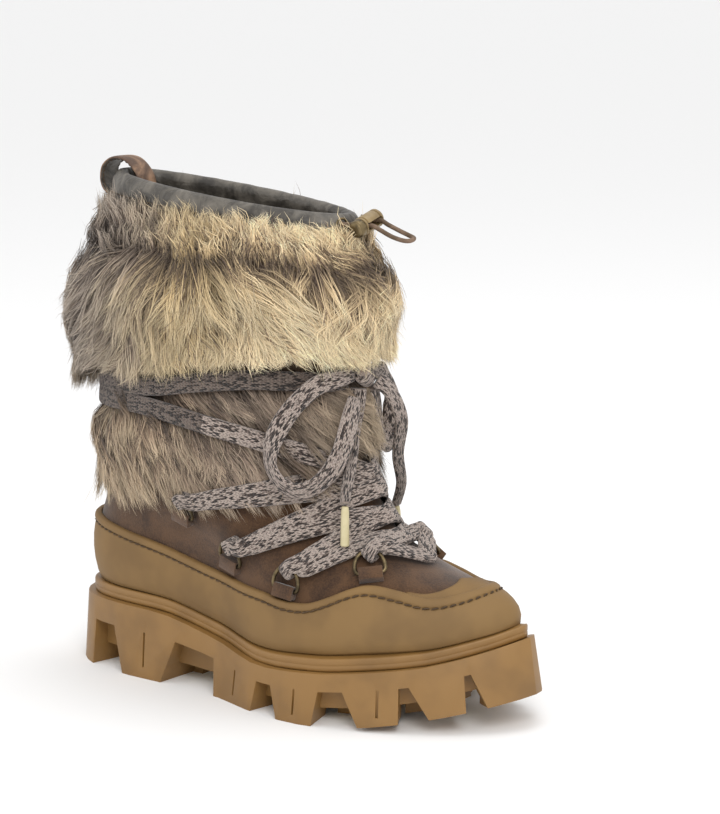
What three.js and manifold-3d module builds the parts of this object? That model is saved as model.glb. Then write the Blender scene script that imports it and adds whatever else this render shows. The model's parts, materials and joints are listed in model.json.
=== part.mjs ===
// Apres ski boot, right foot, standing empty on its sole.
// Millimetres. +X runs to the toe, +Y to the wearer's left (the inner side of this foot), +Z up.
// While it is built, X is measured from the back of the heel and Z from the floor.
// At the end the boot is moved so that its origin lies under the middle of its box.

import * as THREE from 'three';
import { mergeVertices } from 'three/addons/utils/BufferGeometryUtils.js';
import Module from 'manifold-3d';

const wasm = await Module();
wasm.setup();

// Sole
const soleLength = 289;
const ballOut = 60; // half of the tread's width at the ball, outer side
const ballIn = 51; // the same, inner side
const heelHeight = 39; // floor to the outsole's upper edge, under the heel
const ballHeight = 25; // the same under the ball
const toeHeight = 48.5; // the same at the toe's tip
const toeSpring = 18; // how far the tread's tip stands off the floor
const wallFlare = 4.5; // how much wider the tread is than the outsole's upper edge
const lugDepth = 21; // inwards from the outsole's wall
const notchDepth = 11; // inwards, to the core
const slitWidth = 1.3;
const slitDepth = 1;
const weltHeight = 7;
const weltMargin = 3.6; // step from the outsole's upper edge in to the welt

// Upper
const upperWall = 2;
const legHeight = 232; // from the top of the welt up to the rim, at the heel
const insoleThickness = 4;
const insoleMargin = 0.5;
const bottomSeat = 0.8; // gap over the welt for what spans the hollows of the sole's line
const randWall = 2.6;
const randHeight = 40; // at the heel, above the welt
const lipHeight = 4;
const lipRise = 1;
const capWall = 1.7;

// Fur, collar and pull loop
const cuffPile = 31; // fur's thickness at the back of the cuff
const anklePile = 12;
const lockWidth = 16;
const lockThickness = 6;
const collarWall = 3.4;
const collarLining = 1.6;
const collarDrop = 0.42; // rows of the upper that the collar covers
const strapWidth = 15;
const strapThickness = 2;
const strapRise = 17; // loop's top above the collar

// Lacing
const laceWidth = 10.5;
const laceThickness = 3.4;
const laceGap = 1.7;
const foldShare = 0.7; // how much of its width the lace keeps where it folds over a ring
const ringWidth = 18;
const ringRise = 12;
const ringWire = 2.2;
const ringSeat = 5.2; // the ring's bar above the rand's lip
const ringTilt = 0.22; // radians away from the upper
const tabWidth = 12.6;
const tabTop = 2.3; // above the bar's middle
const tabThickness = 4.6;
const bowDrop = 60; // height of a loop
const knotAhead = 14.342399216; // the knot's middle in front of the upper, at the high lace line
const knotAside = 4; // to the outer side
const knotRise = 4.510743776; // over that line
const knotRadius = 6.3;
const agletLength = 21;
const agletDiameter = 5;

// Collar closure
const eyeletDiameter = 6.8;
const eyeletHole = 4.8;
const eyeletThickness = 0.9;
const lockBarrel = 10; // diameter
const lockBarrelLength = 15;
const lockButton = 9.4;
const lockButtonLength = 5;
const lockBore = 4;
const lockBoreLength = 13;
const lockAhead = 10.782925512; // the cord lock's middle in front of the eyelets
const lockAside = 1.481589631; // to the outer side of their middle
const lockDrop = 0.246228038; // under them
const cordDiameter = 2.4;

const clearance = 0.3;
const around = 32; // points around the foot and the leg
const soleAround = 56; // points around the sole

// Materials
const look = (colour, roughness, metalness = 0) =>
  new THREE.MeshStandardMaterial({ color: colour, roughness, metalness });
const looks = {
  rubber: look(0xa97f4d, 0.55),
  rand: look(0xb0905c, 0.7),
  suede: look(0x58463a, 0.95),
  fur: look(0xb9a78d, 1),
  leather: look(0x57524a, 0.6),
  cork: look(0x86664a, 0.8),
  lace: look(0x9c8a7e, 0.95),
  bronze: look(0x6d604b, 0.4, 0.9),
  plastic: look(0xb39b6c, 0.4),
  aglet: look(0xd9cda6, 0.4),
  cord: look(0x6b5546, 0.8),
  footbed: look(0x8f7f6b, 0.95),
};

const boot = new THREE.Group();
const sides = ['outer', 'inner'];

// Closed bodies

function signedVolume(points, faces) {
  let six = 0;
  for (const [a, b, c] of faces) {
    six += points[a].dot(new THREE.Vector3().crossVectors(points[b], points[c]));
  }
  return six / 6;
}

function bodyFrom(points, faces) {
  const outward = signedVolume(points, faces) > 0;
  const geometry = new THREE.BufferGeometry();
  const places = points.flatMap(({ x, y, z }) => [x, y, z]);
  geometry.setAttribute('position', new THREE.Float32BufferAttribute(places, 3));
  geometry.setIndex(faces.flatMap(([a, b, c]) => (outward ? [a, b, c] : [a, c, b])));
  return geometry;
}

const quad = (a, b, c, d) => [[a, b, c], [a, c, d]];

// Rings joined one to the next. A loop closes on its first ring, and anything else gets flat ends,
// whose faces run across from the ring's one side to its other.
function loft(rings, looped) {
  const n = rings[0].length;
  const points = rings.flat();
  const faces = [];
  const steps = looped ? rings.length : rings.length - 1;
  for (let k = 0; k < steps; k += 1) {
    const low = k * n;
    const high = ((k + 1) % rings.length) * n;
    for (let i = 0; i < n; i += 1) {
      const j = (i + 1) % n;
      faces.push(...quad(low + i, low + j, high + j, high + i));
    }
  }
  if (!looped) {
    const last = (rings.length - 1) * n;
    for (let i = 0; i < n / 2; i += 1) {
      const ends = [i, i + 1, n - i - 1, (n - i) % n];
      const cap = quad(...ends).filter(([a, b, c]) => a !== b && b !== c && c !== a);
      faces.push(...cap.map(([a, b, c]) => [a, c, b]));
      faces.push(...cap.map((face) => face.map((v) => last + v)));
    }
  }
  return bodyFrom(points, faces);
}

function toSolid(geometry) {
  const bare = geometry.clone();
  bare.deleteAttribute('normal');
  bare.deleteAttribute('uv');
  const merged = mergeVertices(bare, 1e-4);
  return new wasm.Manifold(new wasm.Mesh({
    numProp: 3,
    vertProperties: new Float32Array(merged.attributes.position.array),
    triVerts: new Uint32Array(merged.index.array),
  }));
}

function toGeometry(solid) {
  const mesh = solid.getMesh();
  const geometry = new THREE.BufferGeometry();
  geometry.setAttribute('position', new THREE.BufferAttribute(mesh.vertProperties, 3));
  geometry.setIndex(new THREE.BufferAttribute(mesh.triVerts, 1));
  return geometry;
}

const join = (geometries) => geometries.map(toSolid).reduce((sum, solid) => sum.add(solid));
const cut = (solid, geometries) => geometries.reduce((rest, tool) => rest.subtract(toSolid(tool)), solid);

// A section swept along a path. facings give each step's outward side.
function sweep(path, facings, sections, looped = false) {
  const at = (k) => path[looped ? (k + path.length) % path.length : Math.min(Math.max(k, 0), path.length - 1)];
  const rings = path.map((middle, k) => {
    const tangent = at(k + 1).clone().sub(at(k - 1)).normalize();
    const side = tangent.clone().cross(facings[k]).normalize();
    const out = side.clone().cross(tangent);
    const section = typeof sections === 'function' ? sections(k) : sections;
    return section.map(([across, up]) => middle.clone().addScaledVector(side, across).addScaledVector(out, up));
  });
  return loft(rings, looped);
}

const roundSection = (diameter, count) => Array.from({ length: count }, (_, k) => {
  const angle = (k / count) * 2 * Math.PI;
  return [(Math.cos(angle) * diameter) / 2, (Math.sin(angle) * diameter) / 2];
});
const flatSection = (width, thickness) => [
  [-width / 2, -thickness / 2],
  [width / 2, -thickness / 2],
  [width / 2, thickness / 2],
  [-width / 2, thickness / 2],
];

// A form built along +Z, turned to point along a direction and set down at a place.
function placed(geometry, direction, place) {
  const up = new THREE.Vector3(0, 0, 1);
  const turn = new THREE.Quaternion().setFromUnitVectors(up, direction.clone().normalize());
  return geometry.applyQuaternion(turn).translate(place.x, place.y, place.z);
}

// A turned form from its half profile as [radius, height] pairs.
const turned = (profile, count) => loft(profile.map(([radius, height]) =>
  roundSection(radius * 2, count).map(([x, y]) => new THREE.Vector3(x, y, height))), false);

function add(name, geometry, material) {
  const mesh = new THREE.Mesh(geometry, material);
  mesh.name = name;
  boot.add(mesh);
  return mesh;
}

// Curves through a table's rows

const mix = (a, b, share) => a + (b - a) * share;
const clamp = (value, low, high) => Math.min(Math.max(value, low), high);
const smooth = (value) => value * value * (3 - 2 * value);

// One column of a table, read smoothly between its rows.
function column(rows, key, place) {
  const at = clamp(Math.floor(place), 0, rows.length - 2);
  const share = place - at;
  const value = (k) => rows[clamp(k, 0, rows.length - 1)][key];
  const [a, b, c, d] = [value(at - 1), value(at), value(at + 1), value(at + 2)];
  if (share < 0 || share > 1) return mix(b, c, share);
  const curve = 2 * b + (c - a) * share + (2 * a - 5 * b + 4 * c - d) * share ** 2
    + (3 * b - a - 3 * c + d) * share ** 3;
  return curve / 2;
}

// The same, with the place given by a rising column instead of by the row's number.
function lookUp(rows, by, key, value) {
  const next = rows.findIndex((row) => row[by] >= value);
  if (next === 0) return rows[0][key];
  if (next < 0) return rows[rows.length - 1][key];
  const before = rows[next - 1][by];
  return column(rows, key, next - 1 + (value - before) / (rows[next][by] - before));
}

// Sole

// The tread's outline from the back of the heel along the outer side to the toe, and back along the
// inner side. along is a share of the sole's length, across of its half width at the ball.
const treadOutline = [
  { along: 0, across: -0.03 },
  { along: 0.021, across: -0.36 },
  { along: 0.076, across: -0.57 },
  { along: 0.173, across: -0.68 },
  { along: 0.29, across: -0.71 },
  { along: 0.41, across: -0.76 },
  { along: 0.52, across: -0.93 },
  { along: 0.63, across: -1 },
  { along: 0.745, across: -0.89 },
  { along: 0.85, across: -0.66 },
  { along: 0.943, across: -0.33 },
  { along: 1, across: 0.12 },
  { along: 0.975, across: 0.46 },
  { along: 0.915, across: 0.7 },
  { along: 0.83, across: 0.89 },
  { along: 0.73, across: 0.99 },
  { along: 0.63, across: 0.95 },
  { along: 0.52, across: 0.82 },
  { along: 0.41, across: 0.76 },
  { along: 0.29, across: 0.77 },
  { along: 0.173, across: 0.78 },
  { along: 0.076, across: 0.65 },
  { along: 0.021, across: 0.38 },
];

const treadCurve = new THREE.CatmullRomCurve3(
  treadOutline.map(({ along, across }) => new THREE.Vector3(
    along * soleLength,
    across * (across < 0 ? ballOut : ballIn),
    0,
  )),
  true,
  'centripetal',
);
const toeTurn = treadOutline.findIndex(({ along }) => along === 1) / treadOutline.length;

// A point on the tread's outline. turn runs from 0 at the heel by the outer side to 0.5 at the toe
// and back to 1 by the inner side.
function outlineAt(turn, inset = 0) {
  const wrapped = ((turn % 1) + 1) % 1;
  const place = wrapped < 0.5
    ? wrapped * 2 * toeTurn
    : toeTurn + (wrapped - 0.5) * 2 * (1 - toeTurn);
  const point = treadCurve.getPoint(place);
  const tangent = treadCurve.getTangent(place);
  return new THREE.Vector3(point.x - tangent.y * inset, point.y + tangent.x * inset, 0);
}

// The outsole's upper edge, between its heights at the heel (0), the ball (1) and the toe (2).
const edgeLine = [
  { along: 0, height: 1.01 },
  { along: 0.13, height: 1 },
  { along: 0.27, height: 0.93 },
  { along: 0.4, height: 0.42 },
  { along: 0.52, height: 0.0 },
  { along: 0.65, height: 0.13 },
];
const edgeRise = [
  { along: 0.65, height: 0 },
  { along: 0.74, height: 0.13 },
  { along: 0.85, height: 0.34 },
  { along: 0.93, height: 0.66 },
  { along: 1, height: 1 },
];

function edgeAt(x) {
  const along = clamp(x / soleLength, 0, 1);
  const back = lookUp(edgeLine, 'along', 'height', Math.min(along, 0.65));
  const ball = mix(ballHeight, heelHeight, back);
  return along <= 0.65 ? ball : mix(ball, toeHeight, lookUp(edgeRise, 'along', 'height', along));
}

const springStart = 0.67;
const springPower = 1.6;
const floorAt = (x) => toeSpring * clamp((x / soleLength - springStart) / (1 - springStart), 0, 1) ** springPower;
const weltBottomAt = (x) => edgeAt(x) + clearance;
const weltTopAt = (x) => weltBottomAt(x) + weltHeight;
const flareAt = (x) => wallFlare * mix(0.55, 1, clamp(x / soleLength, 0, 1));

const lugRoof = 0.66; // top of the notches, as a share of the wall's height
const coreFloor = 0.27; // underside of the core
const wallShare = (x, share) => mix(floorAt(x), edgeAt(x), share);

const soleRing = (inset, heightAt, count = soleAround) =>
  Array.from({ length: count }, (_, i) => {
    const edge = outlineAt(i / count, inset);
    edge.z = heightAt(edge.x);
    return edge;
  });

const flaredRing = (inset, heightAt) =>
  Array.from({ length: soleAround }, (_, i) => {
    const foot = outlineAt(i / soleAround);
    const edge = outlineAt(i / soleAround, inset + flareAt(foot.x));
    edge.z = heightAt(edge.x);
    return edge;
  });

// Gaps between the lugs, from the heel to the toe. low and high are where a gap's two flanks meet the
// floor and the gap's roof, as shares of the sole's length.
const notches = [
  { backLow: 0.078, backHigh: 0.083, frontHigh: 0.142, frontLow: 0.17 },
  { backLow: 0.27, backHigh: 0.303, frontHigh: 0.402, frontLow: 0.408 },
  { backLow: 0.52, backHigh: 0.529, frontHigh: 0.566, frontLow: 0.588 },
  { backLow: 0.665, backHigh: 0.676, frontHigh: 0.722, frontLow: 0.752 },
  { backLow: 0.82, backHigh: 0.82, frontHigh: 0.836, frontLow: 0.868 },
  { backLow: 0.922, backHigh: 0.92, frontHigh: 0.929, frontLow: 0.95 },
];
const slits = [0.225, 0.464, 0.625, 0.785];

// The turn at which one side's outline reaches a share of the length.
function turnAt(along, outer) {
  let [low, high] = [0, 0.5];
  for (let k = 0; k < 30; k += 1) {
    const middle = (low + high) / 2;
    const x = outlineAt(outer ? middle : 1 - middle).x;
    if (x < along * soleLength) low = middle;
    else high = middle;
  }
  return outer ? low : 1 - low;
}

// A block that enters the wall square to it: corners as {along, z}, from outside in by depth.
function wallBlock(corners, outer, depth) {
  const middle = corners.reduce((sum, { along }) => sum + along, 0) / corners.length;
  const turn = turnAt(middle, outer);
  const tangent = outlineAt(turn + 0.004).sub(outlineAt(turn - 0.004)).normalize();
  const inward = new THREE.Vector3(-tangent.y, tangent.x, 0);
  const ring = (reach) => corners.map(({ along, z }) => {
    const foot = outlineAt(turnAt(along, outer));
    const across = foot.clone().sub(outlineAt(turn)).dot(tangent);
    const place = outlineAt(turn).addScaledVector(tangent, across).addScaledVector(inward, reach);
    place.z = z;
    return place;
  });
  return loft([ring(-12), ring(depth)], false);
}

function notchTools(notch, outer) {
  const x = (along) => along * soleLength;
  const below = -10;
  const whole = [
    { along: notch.backLow, z: below },
    { along: notch.frontLow, z: below },
    { along: notch.frontLow, z: floorAt(x(notch.frontLow)) },
    { along: notch.frontHigh, z: wallShare(x(notch.frontHigh), lugRoof) },
    { along: notch.backHigh, z: wallShare(x(notch.backHigh), lugRoof) },
    { along: notch.backLow, z: floorAt(x(notch.backLow)) },
  ];
  const backCore = mix(notch.backLow, notch.backHigh, coreFloor / lugRoof);
  const frontCore = mix(notch.frontLow, notch.frontHigh, coreFloor / lugRoof);
  const lower = [
    { along: notch.backLow, z: below },
    { along: notch.frontLow, z: below },
    { along: notch.frontLow, z: floorAt(x(notch.frontLow)) },
    { along: frontCore, z: wallShare(x(frontCore), coreFloor) },
    { along: backCore, z: wallShare(x(backCore), coreFloor) },
    { along: notch.backLow, z: floorAt(x(notch.backLow)) },
  ];
  return [wallBlock(whole, outer, notchDepth), wallBlock(lower, outer, lugDepth + 6)];
}

function slitTool(along, outer) {
  const half = slitWidth / 2 / soleLength;
  const x = along * soleLength;
  const corners = [
    { along: along - half, z: wallShare(x, 0.16) },
    { along: along + half, z: wallShare(x, 0.16) },
    { along: along + half, z: wallShare(x, 0.66) },
    { along: along - half, z: wallShare(x, 0.66) },
  ];
  return wallBlock(corners, outer, slitDepth + wallFlare / 2);
}

// Bars across the hollow of the tread, as shares of the length.
const treadBars = [
  { from: 0.11, to: 0.2 },
  { from: 0.245, to: 0.3 },
  { from: 0.42, to: 0.49 },
  { from: 0.54, to: 0.61 },
  { from: 0.66, to: 0.73 },
  { from: 0.78, to: 0.84 },
];

function treadHollow() {
  const hollow = toSolid(loft([
    soleRing(lugDepth, () => -10),
    soleRing(lugDepth, (x) => wallShare(x, coreFloor)),
  ], false));
  const bars = treadBars.map(({ from, to }) => {
    const bar = new THREE.BoxGeometry((to - from) * soleLength, ballOut * 2, heelHeight * 2);
    return bar.translate(((from + to) / 2) * soleLength, 0, 0);
  });
  return cut(hollow, bars);
}

function makeOutsole() {
  const body = toSolid(loft([
    soleRing(0, floorAt),
    flaredRing(0, edgeAt),
  ], false));
  const tools = [true, false].flatMap((outer) => [
    ...notches.flatMap((notch) => notchTools(notch, outer)),
    ...slits.map((along) => slitTool(along, outer)),
  ]);
  return toGeometry(cut(body, tools).subtract(treadHollow()));
}

function makeWelt() {
  const round = weltHeight * 0.2;
  return loft([
    flaredRing(weltMargin + round, weltBottomAt),
    flaredRing(weltMargin, (x) => weltBottomAt(x) + round),
    flaredRing(weltMargin, (x) => weltTopAt(x) - round),
    flaredRing(weltMargin + round, weltTopAt),
  ], false);
}

add('outsole', makeOutsole(), looks.rubber);
add('welt', makeWelt(), looks.rubber);

// Upper

// Rings of the upper's outside from the welt to the rim. back and front are shares of the sole's
// length, outer and inner of its half widths at the ball. heel and toe are lifts above the welt as
// shares of the leg's height, follow is how much the ring keeps to the sole's line, leg blends its
// outline from the foot's (0) to the leg's oval (1), and wide is where that oval is widest.
const upperRings = [
  { back: 0.042, front: 0.945, outer: 0.76, inner: 0.75, heel: 0, toe: 0, follow: 1, leg: 0, wide: 0.5 },
  { back: 0.033, front: 0.948, outer: 0.82, inner: 0.82, heel: 0.047, toe: 0.022, follow: 1, leg: 0, wide: 0.5 },
  { back: 0.029, front: 0.942, outer: 0.82, inner: 0.82, heel: 0.099, toe: 0.044, follow: 0.9, leg: 0.03, wide: 0.5 },
  { back: 0.034, front: 0.922, outer: 0.78, inner: 0.79, heel: 0.151, toe: 0.067, follow: 0.75, leg: 0.15, wide: 0.49 },
  { back: 0.046, front: 0.88, outer: 0.74, inner: 0.77, heel: 0.203, toe: 0.09, follow: 0.55, leg: 0.38, wide: 0.48 },
  { back: 0.058, front: 0.827, outer: 0.72, inner: 0.76, heel: 0.254, toe: 0.107, follow: 0.4, leg: 0.64, wide: 0.46 },
  { back: 0.068, front: 0.768, outer: 0.7, inner: 0.76, heel: 0.306, toe: 0.126, follow: 0.25, leg: 0.85, wide: 0.44 },
  { back: 0.075, front: 0.716, outer: 0.69, inner: 0.76, heel: 0.358, toe: 0.152, follow: 0.12, leg: 1, wide: 0.44 },
  { back: 0.079, front: 0.674, outer: 0.69, inner: 0.77, heel: 0.409, toe: 0.203, follow: 0.05, leg: 1, wide: 0.45 },
  { back: 0.081, front: 0.637, outer: 0.69, inner: 0.77, heel: 0.47, toe: 0.293, follow: 0, leg: 1, wide: 0.47 },
  { back: 0.083, front: 0.609, outer: 0.69, inner: 0.77, heel: 0.556, toe: 0.427, follow: 0, leg: 1, wide: 0.48 },
  { back: 0.085, front: 0.599, outer: 0.67, inner: 0.74, heel: 0.685, toe: 0.595, follow: 0, leg: 1, wide: 0.5 },
  { back: 0.087, front: 0.599, outer: 0.6, inner: 0.63, heel: 0.832, toe: 0.746, follow: 0, leg: 1, wide: 0.5 },
  { back: 0.083, front: 0.606, outer: 0.49, inner: 0.45, heel: 0.978, toe: 0.866, follow: 0, leg: 1, wide: 0.5 },
];
const rim = upperRings.length - 1;

function onUpper(row, turn) {
  const value = (key) => column(upperRings, key, row);
  const foot = outlineAt(turn);
  const footAlong = foot.x / soleLength;
  const footAcross = foot.y / (foot.y < 0 ? ballOut : ballIn);
  const angle = turn * 2 * Math.PI;
  const legAlong = (0.5 - 0.5 * Math.cos(angle)) ** (Math.log(value('wide')) / Math.log(0.5));
  const legAcross = -Math.sin(angle);
  const along = mix(footAlong, legAlong, value('leg'));
  const across = mix(footAcross, legAcross, value('leg'));
  const x = mix(value('back'), value('front'), along) * soleLength;
  const y = across * (across < 0 ? value('outer') * ballOut : value('inner') * ballIn);
  const chord = (share) => mix(weltTopAt(0), weltTopAt(soleLength), share);
  const lift = mix(value('heel'), value('toe'), along) * legHeight;
  const z = chord(along) + lift + value('follow') * (weltTopAt(x) - chord(along));
  return new THREE.Vector3(x, y, z);
}

// The upper's outward normal.
function upperNormal(row, turn) {
  const rowAt = clamp(row, 0.03, rim + 0.5);
  const along = onUpper(rowAt, turn + 0.004).sub(onUpper(rowAt, turn - 0.004));
  const up = onUpper(rowAt + 0.05, turn).sub(onUpper(rowAt - 0.03, turn));
  return along.cross(up).normalize();
}

// A point off the upper's outside, kept above the welt.
function skin(row, turn, offset = 0) {
  const point = onUpper(row, turn).addScaledVector(upperNormal(row, turn), offset);
  point.z = Math.max(point.z, weltTopAt(point.x) + bottomSeat);
  return point;
}

const skinRing = (rowAt, offsetAt, count = around) =>
  Array.from({ length: count }, (_, i) => skin(rowAt(i / count), i / count, offsetAt(i / count)));

const evenSkinRing = (row, offset, count = around) => skinRing(() => row, () => offset, count);

const wholeRows = upperRings.map((_, row) => row);

function makeUpper() {
  const outside = wholeRows.map((row) => evenSkinRing(row, 0));
  const insideRows = wholeRows.filter((row) => row !== 3 && row !== 5);
  const inside = insideRows.map((row) => evenSkinRing(row, -upperWall)).reverse();
  return loft([...outside, ...inside], true);
}

// The upper as a filled form, grown outwards, for cutting what lies over it.
function upperForm(grow) {
  const rings = wholeRows.map((row) => evenSkinRing(row, grow));
  const below = rings[0].map((point) => point.clone().setZ(point.z - 4));
  return toSolid(loft([below, ...rings], false));
}
const overUpper = (solid) => solid.subtract(upperForm(clearance));

function makeInsole() {
  const inset = -(upperWall + insoleMargin);
  const ring = (extra, lift) => evenSkinRing(0.05, inset - extra).map((p) => p.setZ(weltTopAt(p.x) + lift));
  return loft([
    ring(0, bottomSeat),
    ring(0, bottomSeat + insoleThickness * 0.6),
    ring(insoleThickness * 0.4, bottomSeat + insoleThickness),
  ], false);
}

add('upper', makeUpper(), looks.suede);
add('insole', makeInsole(), looks.footbed);

// Rand and toe cap

// How far the rand's lip stands above the welt, as shares of its height at the heel.
const randLine = [
  { along: 0.02, lift: 0.98 },
  { along: 0.1, lift: 0.94 },
  { along: 0.2, lift: 0.95 },
  { along: 0.28, lift: 0.91 },
  { along: 0.37, lift: 0.88 },
  { along: 0.46, lift: 0.86 },
  { along: 0.53, lift: 0.8 },
  { along: 0.58, lift: 0.71 },
  { along: 0.63, lift: 0.68 },
  { along: 0.67, lift: 0.77 },
  { along: 0.7, lift: 0.85 },
  { along: 0.73, lift: 0.875 },
  { along: 0.78, lift: 0.78 },
  { along: 0.83, lift: 0.65 },
  { along: 0.88, lift: 0.61 },
  { along: 0.92, lift: 0.62 },
  { along: 0.95, lift: 0.6 },
];
const randLift = (x) => lookUp(randLine, 'along', 'lift', x / soleLength) * randHeight;

// The row at which the upper stands a given height above the welt.
function rowAtLift(turn, liftAt) {
  let [low, high] = [0, 9];
  for (let k = 0; k < 24; k += 1) {
    const middle = (low + high) / 2;
    const point = onUpper(middle, turn);
    if (point.z - weltTopAt(point.x) < liftAt(point.x)) low = middle;
    else high = middle;
  }
  return low;
}

const lipTop = (turn) => rowAtLift(turn, randLift);
const lipFoot = (turn) => rowAtLift(turn, (x) => randLift(x) - lipHeight);

// The rand before the upper is cut out of it, grown outwards and upwards.
function randForm(grow) {
  const outer = clearance + randWall + grow;
  const top = (turn) => rowAtLift(turn, (x) => randLift(x) + grow);
  const section = [
    [() => 0, outer],
    [(turn) => lipFoot(turn) * 0.45, outer],
    [lipFoot, outer],
    [lipFoot, outer + lipRise],
    [top, outer + lipRise * 0.4],
    [top, -upperWall / 2],
    [() => 0, -upperWall / 2],
  ];
  return toSolid(loft(section.map(([rowAt, offset]) => skinRing(rowAt, () => offset)), true));
}

// A closed sheet over a grid of places, which place(u, v, offset share) gives.
function slab(columns, rows, place) {
  const ring = (k) => {
    const front = Array.from({ length: columns + 1 }, (_, i) => place(i / columns, k / rows, 1));
    const back = Array.from({ length: columns + 1 }, (_, i) => place(1 - i / columns, k / rows, 0));
    return [...front, ...back];
  };
  const rings = Array.from({ length: rows + 1 }, (_, k) => ring(k));
  const n = rings[0].length;
  const points = rings.flat();
  const faces = [];
  for (let k = 0; k < rows; k += 1) {
    for (let i = 0; i < n; i += 1) {
      const j = (i + 1) % n;
      faces.push(...quad(k * n + i, k * n + j, (k + 1) * n + j, (k + 1) * n + i));
    }
  }
  for (let i = 0; i < columns; i += 1) {
    const [a, b, c, d] = [i, i + 1, n - i - 2, n - i - 1];
    const last = rows * n;
    faces.push(...quad(d, c, b, a));
    faces.push(...quad(last + a, last + b, last + c, last + d));
  }
  return bodyFrom(points, faces);
}

const capSpan = 0.082; // half the toe cap's width, in turns
const capRow = 4.7; // the upper's row at the middle of the cap's back edge

function makeToeCap() {
  const place = (u, v, side) => {
    const turn = 0.5 + mix(-capSpan, capSpan, u);
    const foot = rowAtLift(turn, (x) => randLift(x) - lipHeight / 2);
    const reach = 1 - Math.abs(turn - 0.5) / capSpan;
    const lip = lipTop(turn);
    const top = lip + 0.12 + (capRow - 0.12 - lipTop(0.5)) * reach;
    return skin(mix(foot, top, v), turn, mix(-upperWall / 2, clearance + capWall, side));
  };
  return overUpper(toSolid(slab(8, 2, place))).subtract(randForm(clearance));
}

add('rand', toGeometry(overUpper(randForm(0))), looks.rand);
add('toe_cap', toGeometry(makeToeCap()), looks.rand);

// Lacing lines

// The two lines on which the lace runs around the ankle, as rows of the upper. turn is counted from
// the heel to the front, and both sides are alike.
const laceLines = [
  { turn: 0, low: 8.65, high: 9.05, edge: 5.9 },
  { turn: 0.1, low: 9.05, high: 9.55, edge: 5.8 },
  { turn: 0.2, low: 9.45, high: 9.85, edge: 7 },
  { turn: 0.26, low: 9.5, high: 10.15, edge: 7.7 },
  { turn: 0.32, low: 9.47, high: 10.37, edge: 8.2 },
  { turn: 0.38, low: 9.35, high: 10.45, edge: 8.9 },
  { turn: 0.44, low: 9.2, high: 10.46, edge: 9.7 },
  { turn: 0.5, low: 9, high: 10.46, edge: 9.75 },
];
function lineAt(key, turn) {
  const wrapped = ((turn % 1) + 1) % 1;
  return lookUp(laceLines, 'turn', key, Math.min(wrapped, 1 - wrapped));
}

// Fur

const furBed = 4; // pressed flat under the lace
const laceRows = 0.28; // half the lace's width and a little more, in rows of the leg
const furEdge = 2.5;
const furSeat = clearance * 3.2; // gap under the fur's back

// How thick the ankle's fur is over the upper: full between the lines, pressed along them.
function ankleFur(row, turn) {
  const wrapped = ((turn % 1) + 1) % 1;
  const front = 0.5 - 0.5 * Math.cos(wrapped * 2 * Math.PI);
  const full = anklePile * (1 - 0.25 * Math.sin(wrapped * 2 * Math.PI) ** 2) * mix(1, 0.8, front);
  const z = onUpper(row, turn).z;
  const away = ['low', 'high'].map((key) => Math.abs(z - onUpper(lineAt(key, turn), turn).z));
  const pressed = smooth(clamp((Math.min(...away) - laceWidth * 0.62) / 8, 0, 1));
  const open = smooth(clamp((row - lineAt('edge', turn)) / 1.3, 0, 1));
  return mix(furBed, mix(furEdge, full, open), pressed * (row > lineAt('high', turn) ? 0 : 1));
}

// How the cuff's pile swells from its lower to its upper edge.
const cuffSwell = [
  { at: 0, pile: 0.35 },
  { at: 0.1, pile: 0.68 },
  { at: 0.28, pile: 0.94 },
  { at: 0.48, pile: 1 },
  { at: 0.7, pile: 0.87 },
  { at: 0.87, pile: 0.62 },
  { at: 1, pile: 0.34 },
];
const cuffFoot = (turn) => lineAt('high', turn) + 0.34;
const cuffTop = rim - collarDrop - 0.11;

function cuffFur(row, turn) {
  const angle = turn * 2 * Math.PI;
  const pile = cuffPile * (0.73 + 0.2 * Math.cos(2 * angle) + 0.06 * Math.cos(angle));
  const at = (row - cuffFoot(turn)) / (cuffTop - cuffFoot(turn));
  return pile * lookUp(cuffSwell, 'at', 'pile', clamp(at, 0, 1));
}

// Repeatable scatter between -1 and 1.
const scatter = (seed) => 2 * ((Math.sin(seed * 91.7 + 12.3) * 4375.5) % 1) ** 2 - 1;

// A tapered lock's sections from its root to its tip: how far along it, how wide and how far out.
const lockSections = [
  { along: 0, wide: 0.8 },
  { along: 0.45, wide: 1 },
  { along: 1, wide: 0.12 },
];

// A lock that leaves the pile at a place and hangs down over it, sideways by drift and out by rise.
function lock(rowAt, turn, pileAt, rowsDown, drift, rise) {
  const onPile = (row, place) => skin(row, place, pileAt(row, place));
  return loft(lockSections.map(({ along, wide }) => {
    const row = rowAt - along * rowsDown;
    const place = turn + drift * along;
    const out = upperNormal(row, place);
    const down = onPile(row - 0.1, place).sub(onPile(row + 0.1, place));
    const across = down.cross(out).normalize();
    const middle = onPile(row, place).addScaledVector(out, rise * along - lockThickness * 0.3);
    return Array.from({ length: 4 }, (_, k) => {
      const angle = (k / 4) * 2 * Math.PI;
      return middle.clone()
        .addScaledVector(across, (wide * lockWidth * Math.cos(angle)) / 2)
        .addScaledVector(out, (wide * lockThickness * Math.sin(angle)) / 2);
    });
  }), false);
}

// A fur's pile over a stack of lines around the upper, with its back close to the upper.
function furShell(lines, backLines, pileAt) {
  const outside = lines.map((rowAt) => skinRing(rowAt, (turn) => pileAt(rowAt(turn), turn)));
  const inside = backLines.map((rowAt) => skinRing(rowAt, () => furSeat));
  return loft([...outside, ...inside.reverse()], true);
}

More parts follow.
